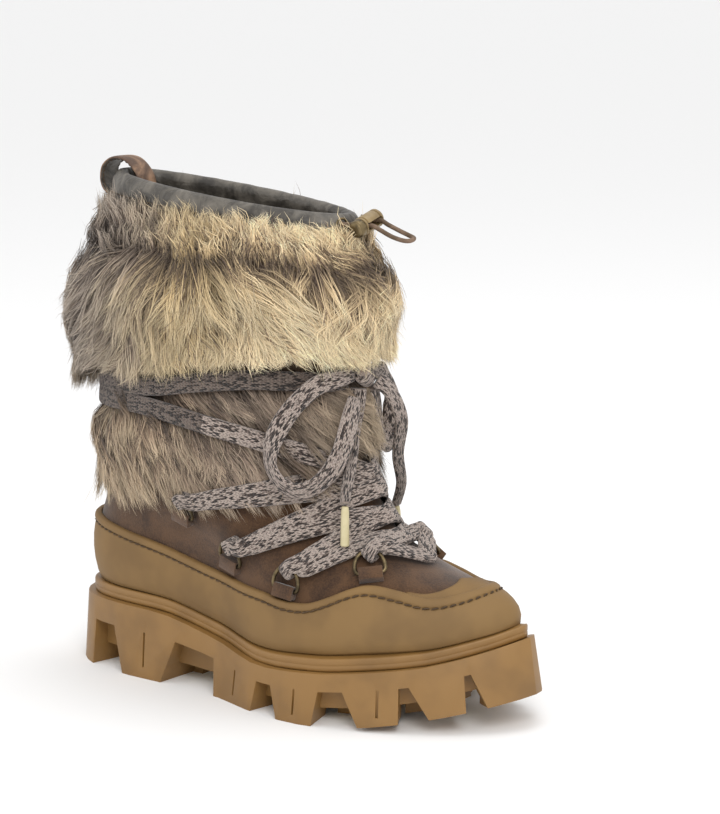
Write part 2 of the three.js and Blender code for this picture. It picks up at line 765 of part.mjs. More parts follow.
function makeCuffFur() {
  const lines = cuffSwell.map(({ at }) => (turn) => mix(cuffFoot(turn), cuffTop, at));
  const back = [0, 0.26, 0.55, 1].map((at) => (turn) => mix(cuffFoot(turn), cuffTop, at));
  const shell = furShell(lines, back, cuffFur);
  const locks = [0.88, 0.56].flatMap((share, tier) => Array.from({ length: 8 }, (_, i) => {
    const seed = i + tier * 8;
    const turn = (i + 0.5 * (tier % 2)) / 8 + 0.02 * scatter(seed);
    const row = mix(cuffFoot(turn), cuffTop, share);
    return lock(row, turn, cuffFur, 0.85 + 0.12 * scatter(seed + 9), 0.03 * scatter(seed + 31), 3.5);
  }));
  return join([shell, ...locks]);
}

function makeAnkleFur() {
  const line = (key, shift) => (turn) => lineAt(key, turn) + shift;
  const [edge, low, high] = [line('edge', 0), line('low', -laceRows), line('high', -laceRows)];
  const between = (turn) => Math.max((lineAt('low', turn) + lineAt('high', turn)) / 2, edge(turn) + 0.12);
  const lines = [
    edge,
    (turn) => Math.max(mix(edge(turn), low(turn), 0.35), edge(turn) + 0.02),
    (turn) => Math.max(mix(edge(turn), low(turn), 0.75), edge(turn) + 0.04),
    (turn) => Math.max(low(turn), edge(turn) + 0.06),
    (turn) => Math.max(Math.min(lineAt('low', turn) + laceRows, between(turn) - 0.02), edge(turn) + 0.08),
    (turn) => Math.max(high(turn), between(turn) + 0.02),
    line('high', laceRows),
  ];
  const shell = furShell(lines, [0, 1, 2, 3, 4, 6].map((k) => lines[k]), ankleFur);
  const locks = [0, 0.1, 0.9].flatMap((turn, i) => [7.95, 7.2].map((row, tier) => {
    const place = turn + (tier ? 0.05 : 0);
    return lock(row + 0.12 * scatter(i), place, ankleFur, 1.2, 0.012 * scatter(i + 5), 5.6);
  }));
  return join([shell, ...locks]);
}

// Collar

const collarFace = (clearance + collarWall) * 1.25; // off the upper's outside

// A point off the flat faces between the upper's two top rows.
const topSkin = (row, turn, offset) =>
  skin(rim - 1, turn, offset).lerp(skin(rim, turn, offset), row - rim + 1);

function collarForm() {
  const seat = clearance * 1.7;
  const inside = -(upperWall + seat);
  const foot = rim - collarDrop;
  const slot = [[foot, seat], [foot, inside], [rim + 0.015, inside], [rim + 0.015, seat]];
  const section = [
    [foot, collarFace * 0.8],
    [rim - 0.26, collarFace],
    [rim - 0.05, collarFace],
    [rim + 0.12, collarFace * 0.2],
    [rim + 0.1, inside - collarLining * 0.6],
    [rim - 0.05, inside - collarLining],
    [foot, inside - collarLining],
  ];
  const ring = (pointAt) => ([row, offset]) =>
    Array.from({ length: around }, (_, i) => pointAt(row, i / around, offset));
  const [outerFoot, ...inner] = slot.map(ring(topSkin));
  return toSolid(loft([outerFoot, ...section.map(ring(skin)), ...inner], true));
}

// Eyelets at the collar's front, one on each side, as places on its face.
const eyelets = [0.463, 0.537].map((turn) => ({
  place: skin(rim - 0.08, turn, collarFace),
  out: upperNormal(rim - 0.08, turn),
}));

function makeCollar() {
  const holes = eyelets.map(({ place, out }) => {
    const hole = turned([[eyeletHole / 2, -2], [eyeletHole / 2, 2]], 8);
    return placed(hole, out, place);
  });
  return cut(collarForm(), holes);
}

function makeEyelet({ place, out }) {
  const flange = toSolid(turned([
    [eyeletDiameter / 2, 0],
    [eyeletDiameter / 2 - 0.4, eyeletThickness],
  ], 12));
  const hole = toSolid(turned([[eyeletHole / 2, -1], [eyeletHole / 2, eyeletThickness + 1]], 8));
  const seat = place.clone().addScaledVector(out, clearance * 1.6);
  return placed(toGeometry(flange.subtract(hole)), out, seat);
}

add('collar', toGeometry(makeCollar()), looks.leather);
eyelets.forEach((eyelet, k) => add(`collar_eyelet_${sides[k]}`, makeEyelet(eyelet), looks.bronze));

// Pull loop: up the outside of the collar's back, over it and down the inside. out is counted from the
// collar's outer face backwards and up from the rim, as shares of the strap's rise.
const strapLine = [
  { out: 0, up: -0.74 },
  { out: 0.06, up: -0.6 },
  { out: 0.3, up: -0.42 },
  { out: 0.4, up: -0.08 },
  { out: 0.3, up: 0.32 },
  { out: -0.08, up: 0.57 },
  { out: -0.62, up: 0.53 },
  { out: -1.07, up: 0.16 },
  { out: -1.25, up: -0.3 },
  { out: -1.25, up: -0.8 },
];

function makePullLoop() {
  const back = skin(rim, 0, collarFace + clearance * 1.5 + strapThickness / 2);
  const path = strapLine.map(({ out, up }) =>
    new THREE.Vector3(back.x - out * strapRise, back.y, back.z + up * strapRise));
  const across = new THREE.Vector3(0, 1, 0);
  const facings = path.map((_, k) => {
    const [from, to] = [path[Math.max(k - 1, 0)], path[Math.min(k + 1, path.length - 1)]];
    return across.clone().cross(to.clone().sub(from));
  });
  return sweep(path, facings, flatSection(strapWidth, strapThickness));
}

add('pull_loop', makePullLoop(), looks.cork);

// Rings and their tabs

// Rings on each side, from the toe back. seat counts the bar's height above the lip in ring seats.
const ringPlaces = [
  { along: 0.723, seat: 1 },
  { along: 0.58, seat: 1 },
  { along: 0.446, seat: 1 },
  { along: 0.329, seat: 3.6 },
];

// Where a ring's bar lies, and the directions along it, up the upper and out of it.
function ringFrame({ along, seat }, side) {
  const turnOf = (share) => (side === 'outer' ? share : 1 - share);
  const onLine = (share) => {
    const turn = turnOf(share);
    const row = rowAtLift(turn, (x) => randLift(x) + seat * ringSeat);
    return { turn, row, point: onUpper(row, turn) };
  };
  let [low, high] = [0.12, 0.5];
  for (let k = 0; k < 24; k += 1) {
    const middle = (low + high) / 2;
    if (onLine(middle).point.x < along * soleLength) low = middle;
    else high = middle;
  }
  const { turn, row, point } = onLine(low);
  const out = upperNormal(row, turn);
  const ahead = onLine(low + 0.01).point.sub(onLine(low - 0.01).point);
  const bar = ahead.addScaledVector(out, -ahead.dot(out)).normalize();
  const up = out.clone().cross(bar);
  if (up.z < 0) up.negate();
  const middle = point.addScaledVector(out, clearance + tabThickness / 2);
  const rise = up.clone().multiplyScalar(Math.cos(ringTilt)).addScaledVector(out, Math.sin(ringTilt));
  const face = out.clone().multiplyScalar(Math.cos(ringTilt)).addScaledVector(up, -Math.sin(ringTilt));
  const arc = middle.clone().addScaledVector(rise, ringRise - ringWire / 2);
  return { turn, row, bar, up, out, rise, face, middle, arc };
}

const ringFrames = Object.fromEntries(
  sides.map((side) => [side, ringPlaces.map((place) => ringFrame(place, side))]),
);

// Half of a ring's middle line, from its bar to the top of its arc.
const ringHalf = [
  { across: 0.84, rise: 0 },
  { across: 1, rise: 0.16 },
  { across: 0.93, rise: 0.6 },
  { across: 0.5, rise: 1 },
];

function makeRing({ bar, rise, face, middle }) {
  const line = [
    ...ringHalf,
    ...ringHalf.map(({ across, rise: up }) => ({ across: -across, rise: up })).reverse(),
  ];
  const path = line.map(({ across, rise: up }) => middle.clone()
    .addScaledVector(bar, (across * (ringWidth - ringWire)) / 2)
    .addScaledVector(rise, up * (ringRise - ringWire / 2)));
  return sweep(path, path.map(() => face), roundSection(ringWire, 4), true);
}

function makeTab({ bar, up, out, middle }) {
  const block = (length, low, high, thickness) => {
    const corners = [[low, -1], [high, -1], [high, 1], [low, 1]];
    return loft([-1, 1].map((end) => corners.map(([height, side]) => middle.clone()
      .addScaledVector(bar, (end * length) / 2)
      .addScaledVector(up, height)
      .addScaledVector(out, (side * thickness) / 2))), false);
  };
  const channel = ringWire + clearance * 2;
  const whole = toSolid(block(tabWidth, clearance - ringSeat, tabTop, tabThickness));
  const bored = cut(whole, [block(ringWidth * 1.2, -channel / 2, channel / 2, channel)]);
  return overUpper(bored).subtract(randForm(clearance));
}

for (const side of sides) {
  ringFrames[side].forEach((frame, k) => {
    add(`ring_tab_${side}_${k + 1}`, toGeometry(makeTab(frame)), looks.suede);
    add(`d_ring_${side}_${k + 1}`, makeRing(frame), looks.bronze);
  });
}

// Lace over the vamp and around the ankle

// How far a lace's middle stands off the upper, over its fur where there is any.
function lacePad(row, turn) {
  const onFur = smooth(clamp((row - lineAt('edge', turn)) / 0.5 + 1.4, 0, 1));
  return laceGap + laceThickness / 2 + onFur * (ankleFur(row, turn) + clearance * 2.4);
}

// The row and turn of the upper nearest to a point, searched from a start.
function nearestOnUpper(point, start) {
  let best = { ...start, far: Infinity };
  for (let step = 0.5; step > 0.004; step /= 1.7) {
    const tries = [[0, 0], [1, 0], [-1, 0], [0, 1], [0, -1], [1, 1], [-1, -1], [1, -1], [-1, 1]];
    for (const [rows, turns] of tries) {
      const [row, turn] = [best.row + rows * step, best.turn + turns * step * 0.06];
      const far = onUpper(row, turn).distanceTo(point);
      if (far < best.far) best = { row, turn, far };
    }
  }
  return best;
}

const leanMost = 0.9; // radians to either side of straight up, as a lace leaves a ring

// A lace's end just off a ring's arc, on its way to a goal.
function ringEnd({ middle, rise, face, bar }, goal) {
  const way = goal.clone().sub(middle);
  const lean = clamp(Math.atan2(way.dot(bar), way.dot(rise)), -leanMost, leanMost);
  const ahead = rise.clone().multiplyScalar(Math.cos(lean)).addScaledVector(bar, Math.sin(lean));
  const reach = mix(0.6, 0.83, Math.abs(lean) / leanMost);
  return [{ further: 0, wide: foldShare }, { further: 0.22, wide: 0.9 }].map(({ further, wide }) => ({
    point: middle.clone()
      .addScaledVector(rise, ringRise * 0.46)
      .addScaledVector(ahead, ringRise * (reach + further)),
    facing: face,
    wide,
  }));
}

// The steps of a taut lace between two of its steps, over the upper and its fur.
function tautSteps(from, to, start, end, count) {
  const steps = Array.from({ length: count }, (_, k) => {
    const share = (k + 1) / (count + 1);
    return {
      point: from.point.clone().lerp(to.point, share),
      near: { row: mix(start.row, end.row, share), turn: mix(start.turn, end.turn, share) },
    };
  });
  for (let round = 0; round < 24; round += 1) {
    steps.forEach((step, k) => {
      const before = k ? steps[k - 1].point : from.point;
      const after = k < count - 1 ? steps[k + 1].point : to.point;
      const middle = before.clone().lerp(after, 0.5);
      const near = nearestOnUpper(middle, step.near);
      const out = upperNormal(near.row, near.turn);
      const off = middle.clone().sub(onUpper(near.row, near.turn)).dot(out);
      const pad = lacePad(near.row, near.turn);
      Object.assign(step, { near, facing: out, point: middle.addScaledVector(out, Math.max(pad - off, 0)) });
    });
  }
  return steps;
}

const onLeg = (row, turn, lift = 0) => ({
  point: skin(row, turn, lacePad(row, turn) + lift),
  facing: upperNormal(row, turn),
});

// A strand between two rings, over the vamp by a row of its crest.
function strandBetween(from, to, crestRow, lift) {
  const crest = onLeg(crestRow, 0.5, lift);
  const half = (frame) => {
    const end = ringEnd(frame, crest.point);
    const start = { row: frame.row + 1, turn: frame.turn };
    return [...end, ...tautSteps(end[1], crest, start, { row: crestRow, turn: 0.5 }, 4)];
  };
  return [...half(from), crest, ...half(to).reverse()];
}

const laceStrip = (steps, extra) => sweep(
  steps.map(({ point }) => point),
  steps.map(({ facing }) => facing),
  (k) => flatSection(laceWidth * (steps[k].wide ?? 1) + extra, laceThickness + extra),
);

// Each crossing joins the ring of one side to the next ring back of the other.
const crests = [
  { row: 5.9, lift: 0 },
  { row: 7, lift: 0.3 },
  { row: 7.9, lift: 0.9 },
  { row: 8.6, lift: 2.6 },
];

function vampStrands(extra) {
  const { outer, inner } = ringFrames;
  const strand = (...way) => laceStrip(strandBetween(...way), extra);
  const crossings = [1, 2, 3].flatMap((k) => [
    strand(outer[k - 1], inner[k], crests[k].row, crests[k].lift + laceThickness * 0.7),
    strand(inner[k - 1], outer[k], crests[k].row, crests[k].lift),
  ]);
  return [strand(outer[0], inner[0], crests[0].row, crests[0].lift), ...crossings];
}

// From the last ring over the vamp, around the heel by the low line and back to the knot by the high.
function wrapSteps(side) {
  const turnOf = (share) => (side === 'outer' ? share : 1 - share);
  const lift = side === 'outer' ? laceThickness * 0.7 : 0;
  const frame = ringFrames[side][3];
  const along = (key, stations) => stations.map((station) => station / 32)
    .map((share) => onLeg(lineAt(key, share), turnOf(share)));
  const crest = onLeg(8.95, 0.5, lift + 1);
  const end = ringEnd(frame, onUpper(7.9, turnOf(0.36)));
  const start = { row: frame.row + 1, turn: frame.turn };
  const middle = { row: 8.95, turn: 0.5 };
  const low = along('low', [20, 21, 23, 25, 27, 28, 29, 30, 31]);
  const first = { row: lineAt('low', 20 / 32), turn: turnOf(20 / 32) };
  return [
    ...end,
    ...tautSteps(end[1], crest, start, middle, 6),
    crest,
    ...tautSteps(crest, low[0], middle, first, 2),
    ...low,
    onLeg((lineAt('low', 0) + lineAt('high', 0)) / 2, turnOf(1), lift),
    ...along('high', [1, 2, 3, 4, 5, 7, 9, 11, 12, 13, 14]),
    onLeg(lineAt('high', 15.1 / 32), turnOf(15.1 / 32), 0.5),
  ];
}

function laceForm(extra) {
  const wraps = sides.map((side) => laceStrip(wrapSteps(side), extra));
  return join([...vampStrands(extra), ...wraps]);
}

add('lace_crossings', toGeometry(laceForm(0)), looks.lace);
add('fur_cuff', toGeometry(makeCuffFur()), looks.fur);
add('fur_ankle', toGeometry(makeAnkleFur()), looks.fur);

// Bow

const knot = onUpper(lineAt('high', 0.5), 0.5).add(new THREE.Vector3(knotAhead, -knotAside, knotRise));
const knotSections = [
  { along: -0.98, wide: 0.45 },
  { along: -0.7, wide: 0.85 },
  { along: 0, wide: 1 },
  { along: 0.7, wide: 0.85 },
  { along: 0.98, wide: 0.45 },
];

// A loop of the bow in an upright plane through the knot, as shares of the bow's drop: reach goes
// away from the knot, down from it, off stands out of the plane, and twist turns the lace, in quarter turns.
const loopLine = [
  { reach: 0.121, down: 0, off: 0.02, twist: 0 },
  { reach: 0.252, down: 0.014, off: 0.07, twist: 0 },
  { reach: 0.443, down: 0.06, off: 0.08, twist: 0 },
  { reach: 0.61, down: 0.189, off: 0.067, twist: 0 },
  { reach: 0.723, down: 0.303, off: 0.083, twist: 0.1 },
  { reach: 0.818, down: 0.435, off: 0.1, twist: 0.3 },
  { reach: 0.872, down: 0.564, off: 0.1, twist: 0.6 },
  { reach: 0.896, down: 0.691, off: 0.117, twist: 0.8 },
  { reach: 0.874, down: 0.795, off: 0.133, twist: 0.8 },
  { reach: 0.817, down: 0.883, off: 0.15, twist: 0.7 },
  { reach: 0.732, down: 0.947, off: 0.167, twist: 0.5 },
  { reach: 0.629, down: 0.967, off: 0.183, twist: 0.3 },
  { reach: 0.526, down: 0.935, off: 0.2, twist: 0.2 },
  { reach: 0.427, down: 0.862, off: 0.2, twist: 0.1 },
  { reach: 0.336, down: 0.753, off: 0.2, twist: 0 },
  { reach: 0.273, down: 0.624, off: 0.2, twist: 0 },
  { reach: 0.227, down: 0.477, off: 0.2, twist: 0 },
  { reach: 0.186, down: 0.324, off: 0.183, twist: 0 },
  { reach: 0.134, down: 0.185, off: 0.133, twist: 0 },
];
const endLines = {
  outer: [
    { reach: 0.064, down: 0.125, off: 0.01, twist: 0.4 },
    { reach: 0.068, down: 0.281, off: 0, twist: 0.5 },
    { reach: 0.097, down: 0.452, off: 0.01, twist: 0.6 },
    { reach: 0.132, down: 0.613, off: 0.067, twist: 0.6 },
    { reach: 0.19, down: 0.812, off: 0.167, twist: 0.5 },
    { reach: 0.262, down: 0.99, off: 0.28, twist: 0.4 },
    { reach: 0.286, down: 1.068, off: 0.335, twist: 0.4 },
    { reach: 0.296, down: 1.401, off: 0.36, twist: 0.4 },
  ],
  inner: [
    { reach: 0.075, down: 0.06, off: 0.09, twist: 0.3 },
    { reach: 0.145, down: 0.177, off: 0.19, twist: 0.3 },
    { reach: 0.276, down: 0.444, off: 0.25, twist: 0.5 },
    { reach: 0.443, down: 0.785, off: 0.17, twist: 0.5 },
    { reach: 0.72, down: 1.1, off: 0.12, twist: 0.5 },
    { reach: 0.87, down: 1.33, off: 0.03, twist: 0.4 },
    { reach: 0.95, down: 1.7, off: 0.02, twist: 0.4 },
  ],
};

// The level direction in which each loop hangs away from the knot.
const bowSides = {
  outer: new THREE.Vector3(-0.61, -0.79, 0).normalize(),
  inner: new THREE.Vector3(-0.3, 0.95, 0).normalize(),
};

const loopStandOff = { outer: 1, inner: 0.25 };
const loopSize = { outer: 1, inner: 0.72 };

// The level direction in which a loop's plane faces forwards.
function bowFront({ x, y }) {
  return new THREE.Vector3(Math.abs(y), y < 0 ? x : -x, 0);
}

function bowPoint(side, { reach, down, off }) {
  return knot.clone()
    .addScaledVector(bowSides[side], reach * bowDrop)
    .addScaledVector(bowFront(bowSides[side]), off * bowDrop)
    .setZ(knot.z - down * bowDrop);
}

function bowStrip(side, line, sections) {
  const path = line.map((stop) => bowPoint(side, stop));
  const front = bowFront(bowSides[side]);
  const facings = path.map((_, k) => {
    const [from, to] = [path[Math.max(k - 1, 0)], path[Math.min(k + 1, path.length - 1)]];
    const angle = (line[k].twist * Math.PI) / 2;
    return front.clone().applyAxisAngle(to.clone().sub(from).normalize(), angle);
  });
  return sweep(path, facings, sections);
}

function makeKnot() {
  const rings = knotSections.map(({ along, wide }) => {
    const across = new THREE.Vector3(0.3, -0.9, 0.35).normalize();
    const up = new THREE.Vector3(0, 0.36, 0.93).normalize();
    const out = across.clone().cross(up);
    return roundSection(wide * knotRadius * 2, 8).map(([a, b]) => knot.clone()
      .addScaledVector(across, along * knotRadius)
      .addScaledVector(up, a * 1.15)
      .addScaledVector(out, b * 0.85));
  });
  return loft(rings, false);
}

function makeAglet(side) {
  const [from, to] = endLines[side].slice(-2).map((stop) => bowPoint(side, stop));
  const direction = to.sub(from).normalize();
  const radius = agletDiameter / 2;
  const length = agletLength;
  const top = from.addScaledVector(direction, clearance * 5);
  return placed(turned([[radius, 0], [radius, length - 1], [radius * 0.6, length]], 8), direction, top);
}

add('lace_knot', makeKnot(), looks.lace);
for (const side of sides) {
  const section = flatSection(laceWidth, laceThickness);
  const loop = loopLine.map(({ reach, down, off, twist }) => ({
    reach: reach * mix(1, loopSize[side], down),
    down: down * loopSize[side],
    off: off * loopStandOff[side],
    twist,
  }));
  const end = endLines[side].slice(0, -1);
  const narrowing = (k) => {
    const share = k / (end.length - 1);
    return flatSection(laceWidth * mix(0.85, 0.5, share), laceThickness * mix(1, 1.2, share));
  };
  add(`lace_loop_${side}`, bowStrip(side, loop, section), looks.lace);
  add(`lace_end_${side}`, bowStrip(side, end, narrowing), looks.lace);
  add(`aglet_${side}`, makeAglet(side), looks.aglet);
}

// Cord lock and draw cord

const lockMiddle = eyelets[0].place.clone()
  .lerp(eyelets[1].place, 0.5)
  .add(new THREE.Vector3(lockAhead, -lockAside, -lockDrop));
const lockAxis = new THREE.Vector3(-0.03, -0.96, -0.28).normalize();
const lockLength = lockBarrelLength + clearance + lockButtonLength;
const alongLock = (distance) => lockMiddle.clone().addScaledVector(lockAxis, distance);

function makeBarrel() {
  const radius = lockBarrel / 2;
  const groove = 0.7;
  const profile = [
    [radius - 0.5, 0],
    [radius, 1],
    [radius, 2],
    [radius - groove, 2.4],
    [radius - groove, 3],
    [radius, 3.4],
    [radius, lockBarrelLength - 2.4],
    [radius - groove, lockBarrelLength - 2],
    [radius - groove, lockBarrelLength - 1.4],
    [radius, lockBarrelLength - 1],
    [radius, lockBarrelLength],
  ];
  const barrel = toSolid(placed(turned(profile, 12), lockAxis, alongLock(-lockLength / 2)));
  const across = new THREE.Vector3(1, 0, 0);
  const slot = [-1, 1].map((end) => alongLock((end * lockBoreLength) / 2 - 2.2));
  const height = lockAxis.clone().cross(across).normalize();
  const ring = (x) => [[0, -1], [1, -1], [1, 1], [0, 1]].map(([end, up]) => slot[end].clone()
    .addScaledVector(height, (up * lockBore) / 2)
    .addScaledVector(across, x));
  return cut(barrel, [loft([ring(-lockBarrel), ring(lockBarrel)], false)]);
}

function makeButton() {
  const radius = lockButton / 2;
  const profile = [[radius, 0], [radius, lockButtonLength * 0.7], [radius * 0.75, lockButtonLength]];
  return placed(turned(profile, 12), lockAxis, alongLock(lockLength / 2 - lockButtonLength));
}

// Half of the draw cord, from the lock to the tip of its loop. ahead is counted from the lock's middle.
const cordLine = [
  { ahead: -5.6, across: 1, drop: 0 },
  { ahead: 0, across: 1, drop: 0 },
  { ahead: 5.5, across: 1, drop: 0 },
  { ahead: 10, across: 0.95, drop: 1.9 },
  { ahead: 17, across: 1, drop: 4.7 },
  { ahead: 23.5, across: 0.85, drop: 6.6 },
  { ahead: 27.4, across: 0.45, drop: 7.2 },
];

function makeDrawCord() {
  const half = (side) => {
    const sign = side === 0 ? 1 : -1;
    const eyelet = eyelets[side];
    const inside = eyelet.place.clone().addScaledVector(eyelet.out, -1.2);
    const outside = eyelet.place.clone().addScaledVector(eyelet.out, 2.8);
    const line = cordLine.map(({ ahead, across, drop }) => {
      const point = alongLock(sign * across * 4 - 2.2);
      return new THREE.Vector3(lockMiddle.x + ahead, point.y, point.z - drop);
    });
    const elbow = outside.clone().lerp(line[0], 0.4).add(new THREE.Vector3(0.6, 0, 0));
    return [inside, outside, elbow, ...line];
  };
  const path = [...half(0), ...half(1).reverse()];
  return sweep(path, path.map(() => new THREE.Vector3(0, 0, 1)), roundSection(cordDiameter, 6));
}

add('cord_lock_barrel', toGeometry(makeBarrel()), looks.plastic);
add('cord_lock_button', makeButton(), looks.bronze);
add('draw_cord', makeDrawCord(), looks.cord);

boot.updateMatrixWorld(true);
const box = new THREE.Box3().setFromObject(boot);
boot.position.set(-(box.min.x + box.max.x) / 2, -(box.min.y + box.max.y) / 2, -box.min.z);

export default boot;
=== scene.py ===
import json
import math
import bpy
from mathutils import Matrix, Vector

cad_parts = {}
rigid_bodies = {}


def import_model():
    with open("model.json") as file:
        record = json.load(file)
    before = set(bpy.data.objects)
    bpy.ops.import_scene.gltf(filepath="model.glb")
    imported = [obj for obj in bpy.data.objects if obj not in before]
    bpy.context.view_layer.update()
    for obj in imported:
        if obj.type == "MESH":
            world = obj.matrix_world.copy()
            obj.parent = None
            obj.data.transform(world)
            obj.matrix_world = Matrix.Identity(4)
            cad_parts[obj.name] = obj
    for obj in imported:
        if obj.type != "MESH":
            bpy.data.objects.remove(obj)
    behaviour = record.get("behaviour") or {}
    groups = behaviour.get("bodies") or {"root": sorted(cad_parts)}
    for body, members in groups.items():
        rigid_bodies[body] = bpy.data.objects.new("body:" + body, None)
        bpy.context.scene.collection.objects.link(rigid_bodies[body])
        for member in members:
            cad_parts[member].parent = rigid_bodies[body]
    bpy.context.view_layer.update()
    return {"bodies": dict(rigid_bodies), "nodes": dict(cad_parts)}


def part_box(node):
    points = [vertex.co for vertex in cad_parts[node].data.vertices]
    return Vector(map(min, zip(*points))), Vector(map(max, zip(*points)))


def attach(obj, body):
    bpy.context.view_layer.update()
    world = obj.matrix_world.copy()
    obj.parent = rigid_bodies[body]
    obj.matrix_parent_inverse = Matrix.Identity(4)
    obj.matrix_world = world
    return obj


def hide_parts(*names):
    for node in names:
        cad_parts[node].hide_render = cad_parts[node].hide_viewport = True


bl_info = {
    "name": "Fur Snow Boot",
    "version": (1, 0, 0),
    "blender": (4, 5, 0),
    "location": "3D View > Sidebar > Snow Boot",
    "description": "Dresses the packed snow boot: "
                   "rubber, suede, long fur, knitted lace, collar and cord stopper",
    "category": "Object",
}

import bmesh
import bpy
import numpy as np
from bpy.props import FloatProperty, FloatVectorProperty, IntProperty, PointerProperty
from mathutils import Matrix, Vector

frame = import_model()
body = next(iter(frame["bodies"]))

# All lengths below are millimetres, counted from the heel's rear end of the sole (x towards the
# toe, y towards the inner side, z up from the floor), and become metres when a mesh is made.
SOLE = 289.0
OUT_HALF = 60.0
IN_HALF = 51.0
GAP = 0.3
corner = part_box("outsole")[0]
SHIFT = np.array([corner[0] * 1000.0, corner[1] * 1000.0 + 59.8868, 0.0])


def to_row(points):
    return (np.asarray(points, dtype=float) + SHIFT) / 1000.0


# The boot's own surfaces

TREAD = np.array([
    (0, -0.03), (0.021, -0.36), (0.076, -0.57), (0.173, -0.68), (0.29, -0.71), (0.41, -0.76),
    (0.52, -0.93), (0.63, -1), (0.745, -0.89), (0.85, -0.66), (0.943, -0.33), (1, 0.12),
    (0.975, 0.46), (0.915, 0.7), (0.83, 0.89), (0.73, 0.99), (0.63, 0.95), (0.52, 0.82),
    (0.41, 0.76), (0.29, 0.77), (0.173, 0.78), (0.076, 0.65), (0.021, 0.38),
])
TREAD_POINTS = np.column_stack([
    TREAD[:, 0] * SOLE,
    TREAD[:, 1] * np.where(TREAD[:, 1] < 0, OUT_HALF, IN_HALF),
])
TOE_TURN = 11 / len(TREAD)

EDGE_BACK = ([0, 0.13, 0.27, 0.4, 0.52, 0.65], [1.01, 1, 0.93, 0.42, 0, 0.13])
EDGE_FRONT = ([0.65, 0.74, 0.85, 0.93, 1], [0, 0.13, 0.34, 0.66, 1])

# back, front, outer, inner, heel, toe, follow, leg, wide: rings of the upper from welt to rim
RINGS = np.array([
    (0.042, 0.945, 0.76, 0.75, 0, 0, 1, 0, 0.5),
    (0.033, 0.948, 0.82, 0.82, 0.047, 0.022, 1, 0, 0.5),
    (0.029, 0.942, 0.82, 0.82, 0.099, 0.044, 0.9, 0.03, 0.5),
    (0.034, 0.922, 0.78, 0.79, 0.151, 0.067, 0.75, 0.15, 0.49),
    (0.046, 0.88, 0.74, 0.77, 0.203, 0.09, 0.55, 0.38, 0.48),
    (0.058, 0.827, 0.72, 0.76, 0.254, 0.107, 0.4, 0.64, 0.46),
    (0.068, 0.768, 0.7, 0.76, 0.306, 0.126, 0.25, 0.85, 0.44),
    (0.075, 0.716, 0.69, 0.76, 0.358, 0.152, 0.12, 1, 0.44),
    (0.079, 0.674, 0.69, 0.77, 0.409, 0.203, 0.05, 1, 0.45),
    (0.081, 0.637, 0.69, 0.77, 0.47, 0.293, 0, 1, 0.47),
    (0.083, 0.609, 0.69, 0.77, 0.556, 0.427, 0, 1, 0.48),
    (0.085, 0.599, 0.67, 0.74, 0.685, 0.595, 0, 1, 0.5),
    (0.087, 0.599, 0.6, 0.63, 0.832, 0.746, 0, 1, 0.5),
    (0.083, 0.606, 0.49, 0.45, 0.978, 0.866, 0, 1, 0.5),
])
RIM = len(RINGS) - 1
LEG = 232.0

RAND = (
    [0.02, 0.1, 0.2, 0.28, 0.37, 0.46, 0.53, 0.58, 0.63, 0.67, 0.7, 0.73, 0.78, 0.83, 0.88, 0.92, 0.95],
    [0.98, 0.94, 0.95, 0.91, 0.88, 0.86, 0.8, 0.71, 0.68, 0.77, 0.85, 0.875, 0.78, 0.65, 0.61, 0.62, 0.6],
)
LINE_TURNS = [0, 0.1, 0.2, 0.26, 0.32, 0.38, 0.44, 0.5]
LINES = {
    "low": [8.65, 9.05, 9.45, 9.5, 9.47, 9.35, 9.2, 9],
    "high": [9.05, 9.55, 9.85, 10.15, 10.37, 10.45, 10.46, 10.46],
    "edge": [5.9, 5.8, 7, 7.7, 8.2, 8.9, 9.7, 9.75],
}


def spline(values, place):
    """Values of evenly spaced rows, read smoothly at places between them."""
    values = np.asarray(values, dtype=float)
    place = np.asarray(place, dtype=float)
    last = len(values) - 1
    at = np.clip(np.floor(place).astype(int), 0, last - 1)
    share = (place - at).reshape(place.shape + (1,) * (values.ndim - 1))
    a, b, c, d = (values[np.clip(at + k, 0, last)] for k in (-1, 0, 1, 2))
    curve = 2 * b + (c - a) * share + (2 * a - 5 * b + 4 * c - d) * share ** 2
    curve = (curve + (3 * b - a - 3 * c + d) * share ** 3) / 2
    straight = b + (c - b) * share
    return np.where((share < 0) | (share > 1), straight, curve)


def look_up(table, value):
    places, values = (np.asarray(column, dtype=float) for column in table)
    value = np.clip(value, places[0], places[-1])
    after = np.clip(np.searchsorted(places, value, side="left"), 1, len(places) - 1)
    share = (value - places[after - 1]) / (places[after] - places[after - 1])
    return spline(values, after - 1 + share)


def closed_curve(points, share):
    """A closed centripetal curve through points at shares of its way round."""
    count = len(points)
    place = np.mod(np.asarray(share, dtype=float), 1) * count
    at = np.floor(place).astype(int)
    w = (place - at)[..., None]
    p0, p1, p2, p3 = (points[(at + k) % count] for k in (-1, 0, 1, 2))
    d0, d1, d2 = (np.linalg.norm(b - a, axis=-1, keepdims=True) ** 0.5
                  for a, b in ((p0, p1), (p1, p2), (p2, p3)))
    t1 = ((p1 - p0) / d0 - (p2 - p0) / (d0 + d1) + (p2 - p1) / d1) * d1
    t2 = ((p2 - p1) / d1 - (p3 - p1) / (d1 + d2) + (p3 - p2) / d2) * d1
    c2 = -3 * p1 + 3 * p2 - 2 * t1 - t2
    c3 = 2 * p1 - 2 * p2 + t1 + t2
    return p1 + t1 * w + c2 * w ** 2 + c3 * w ** 3


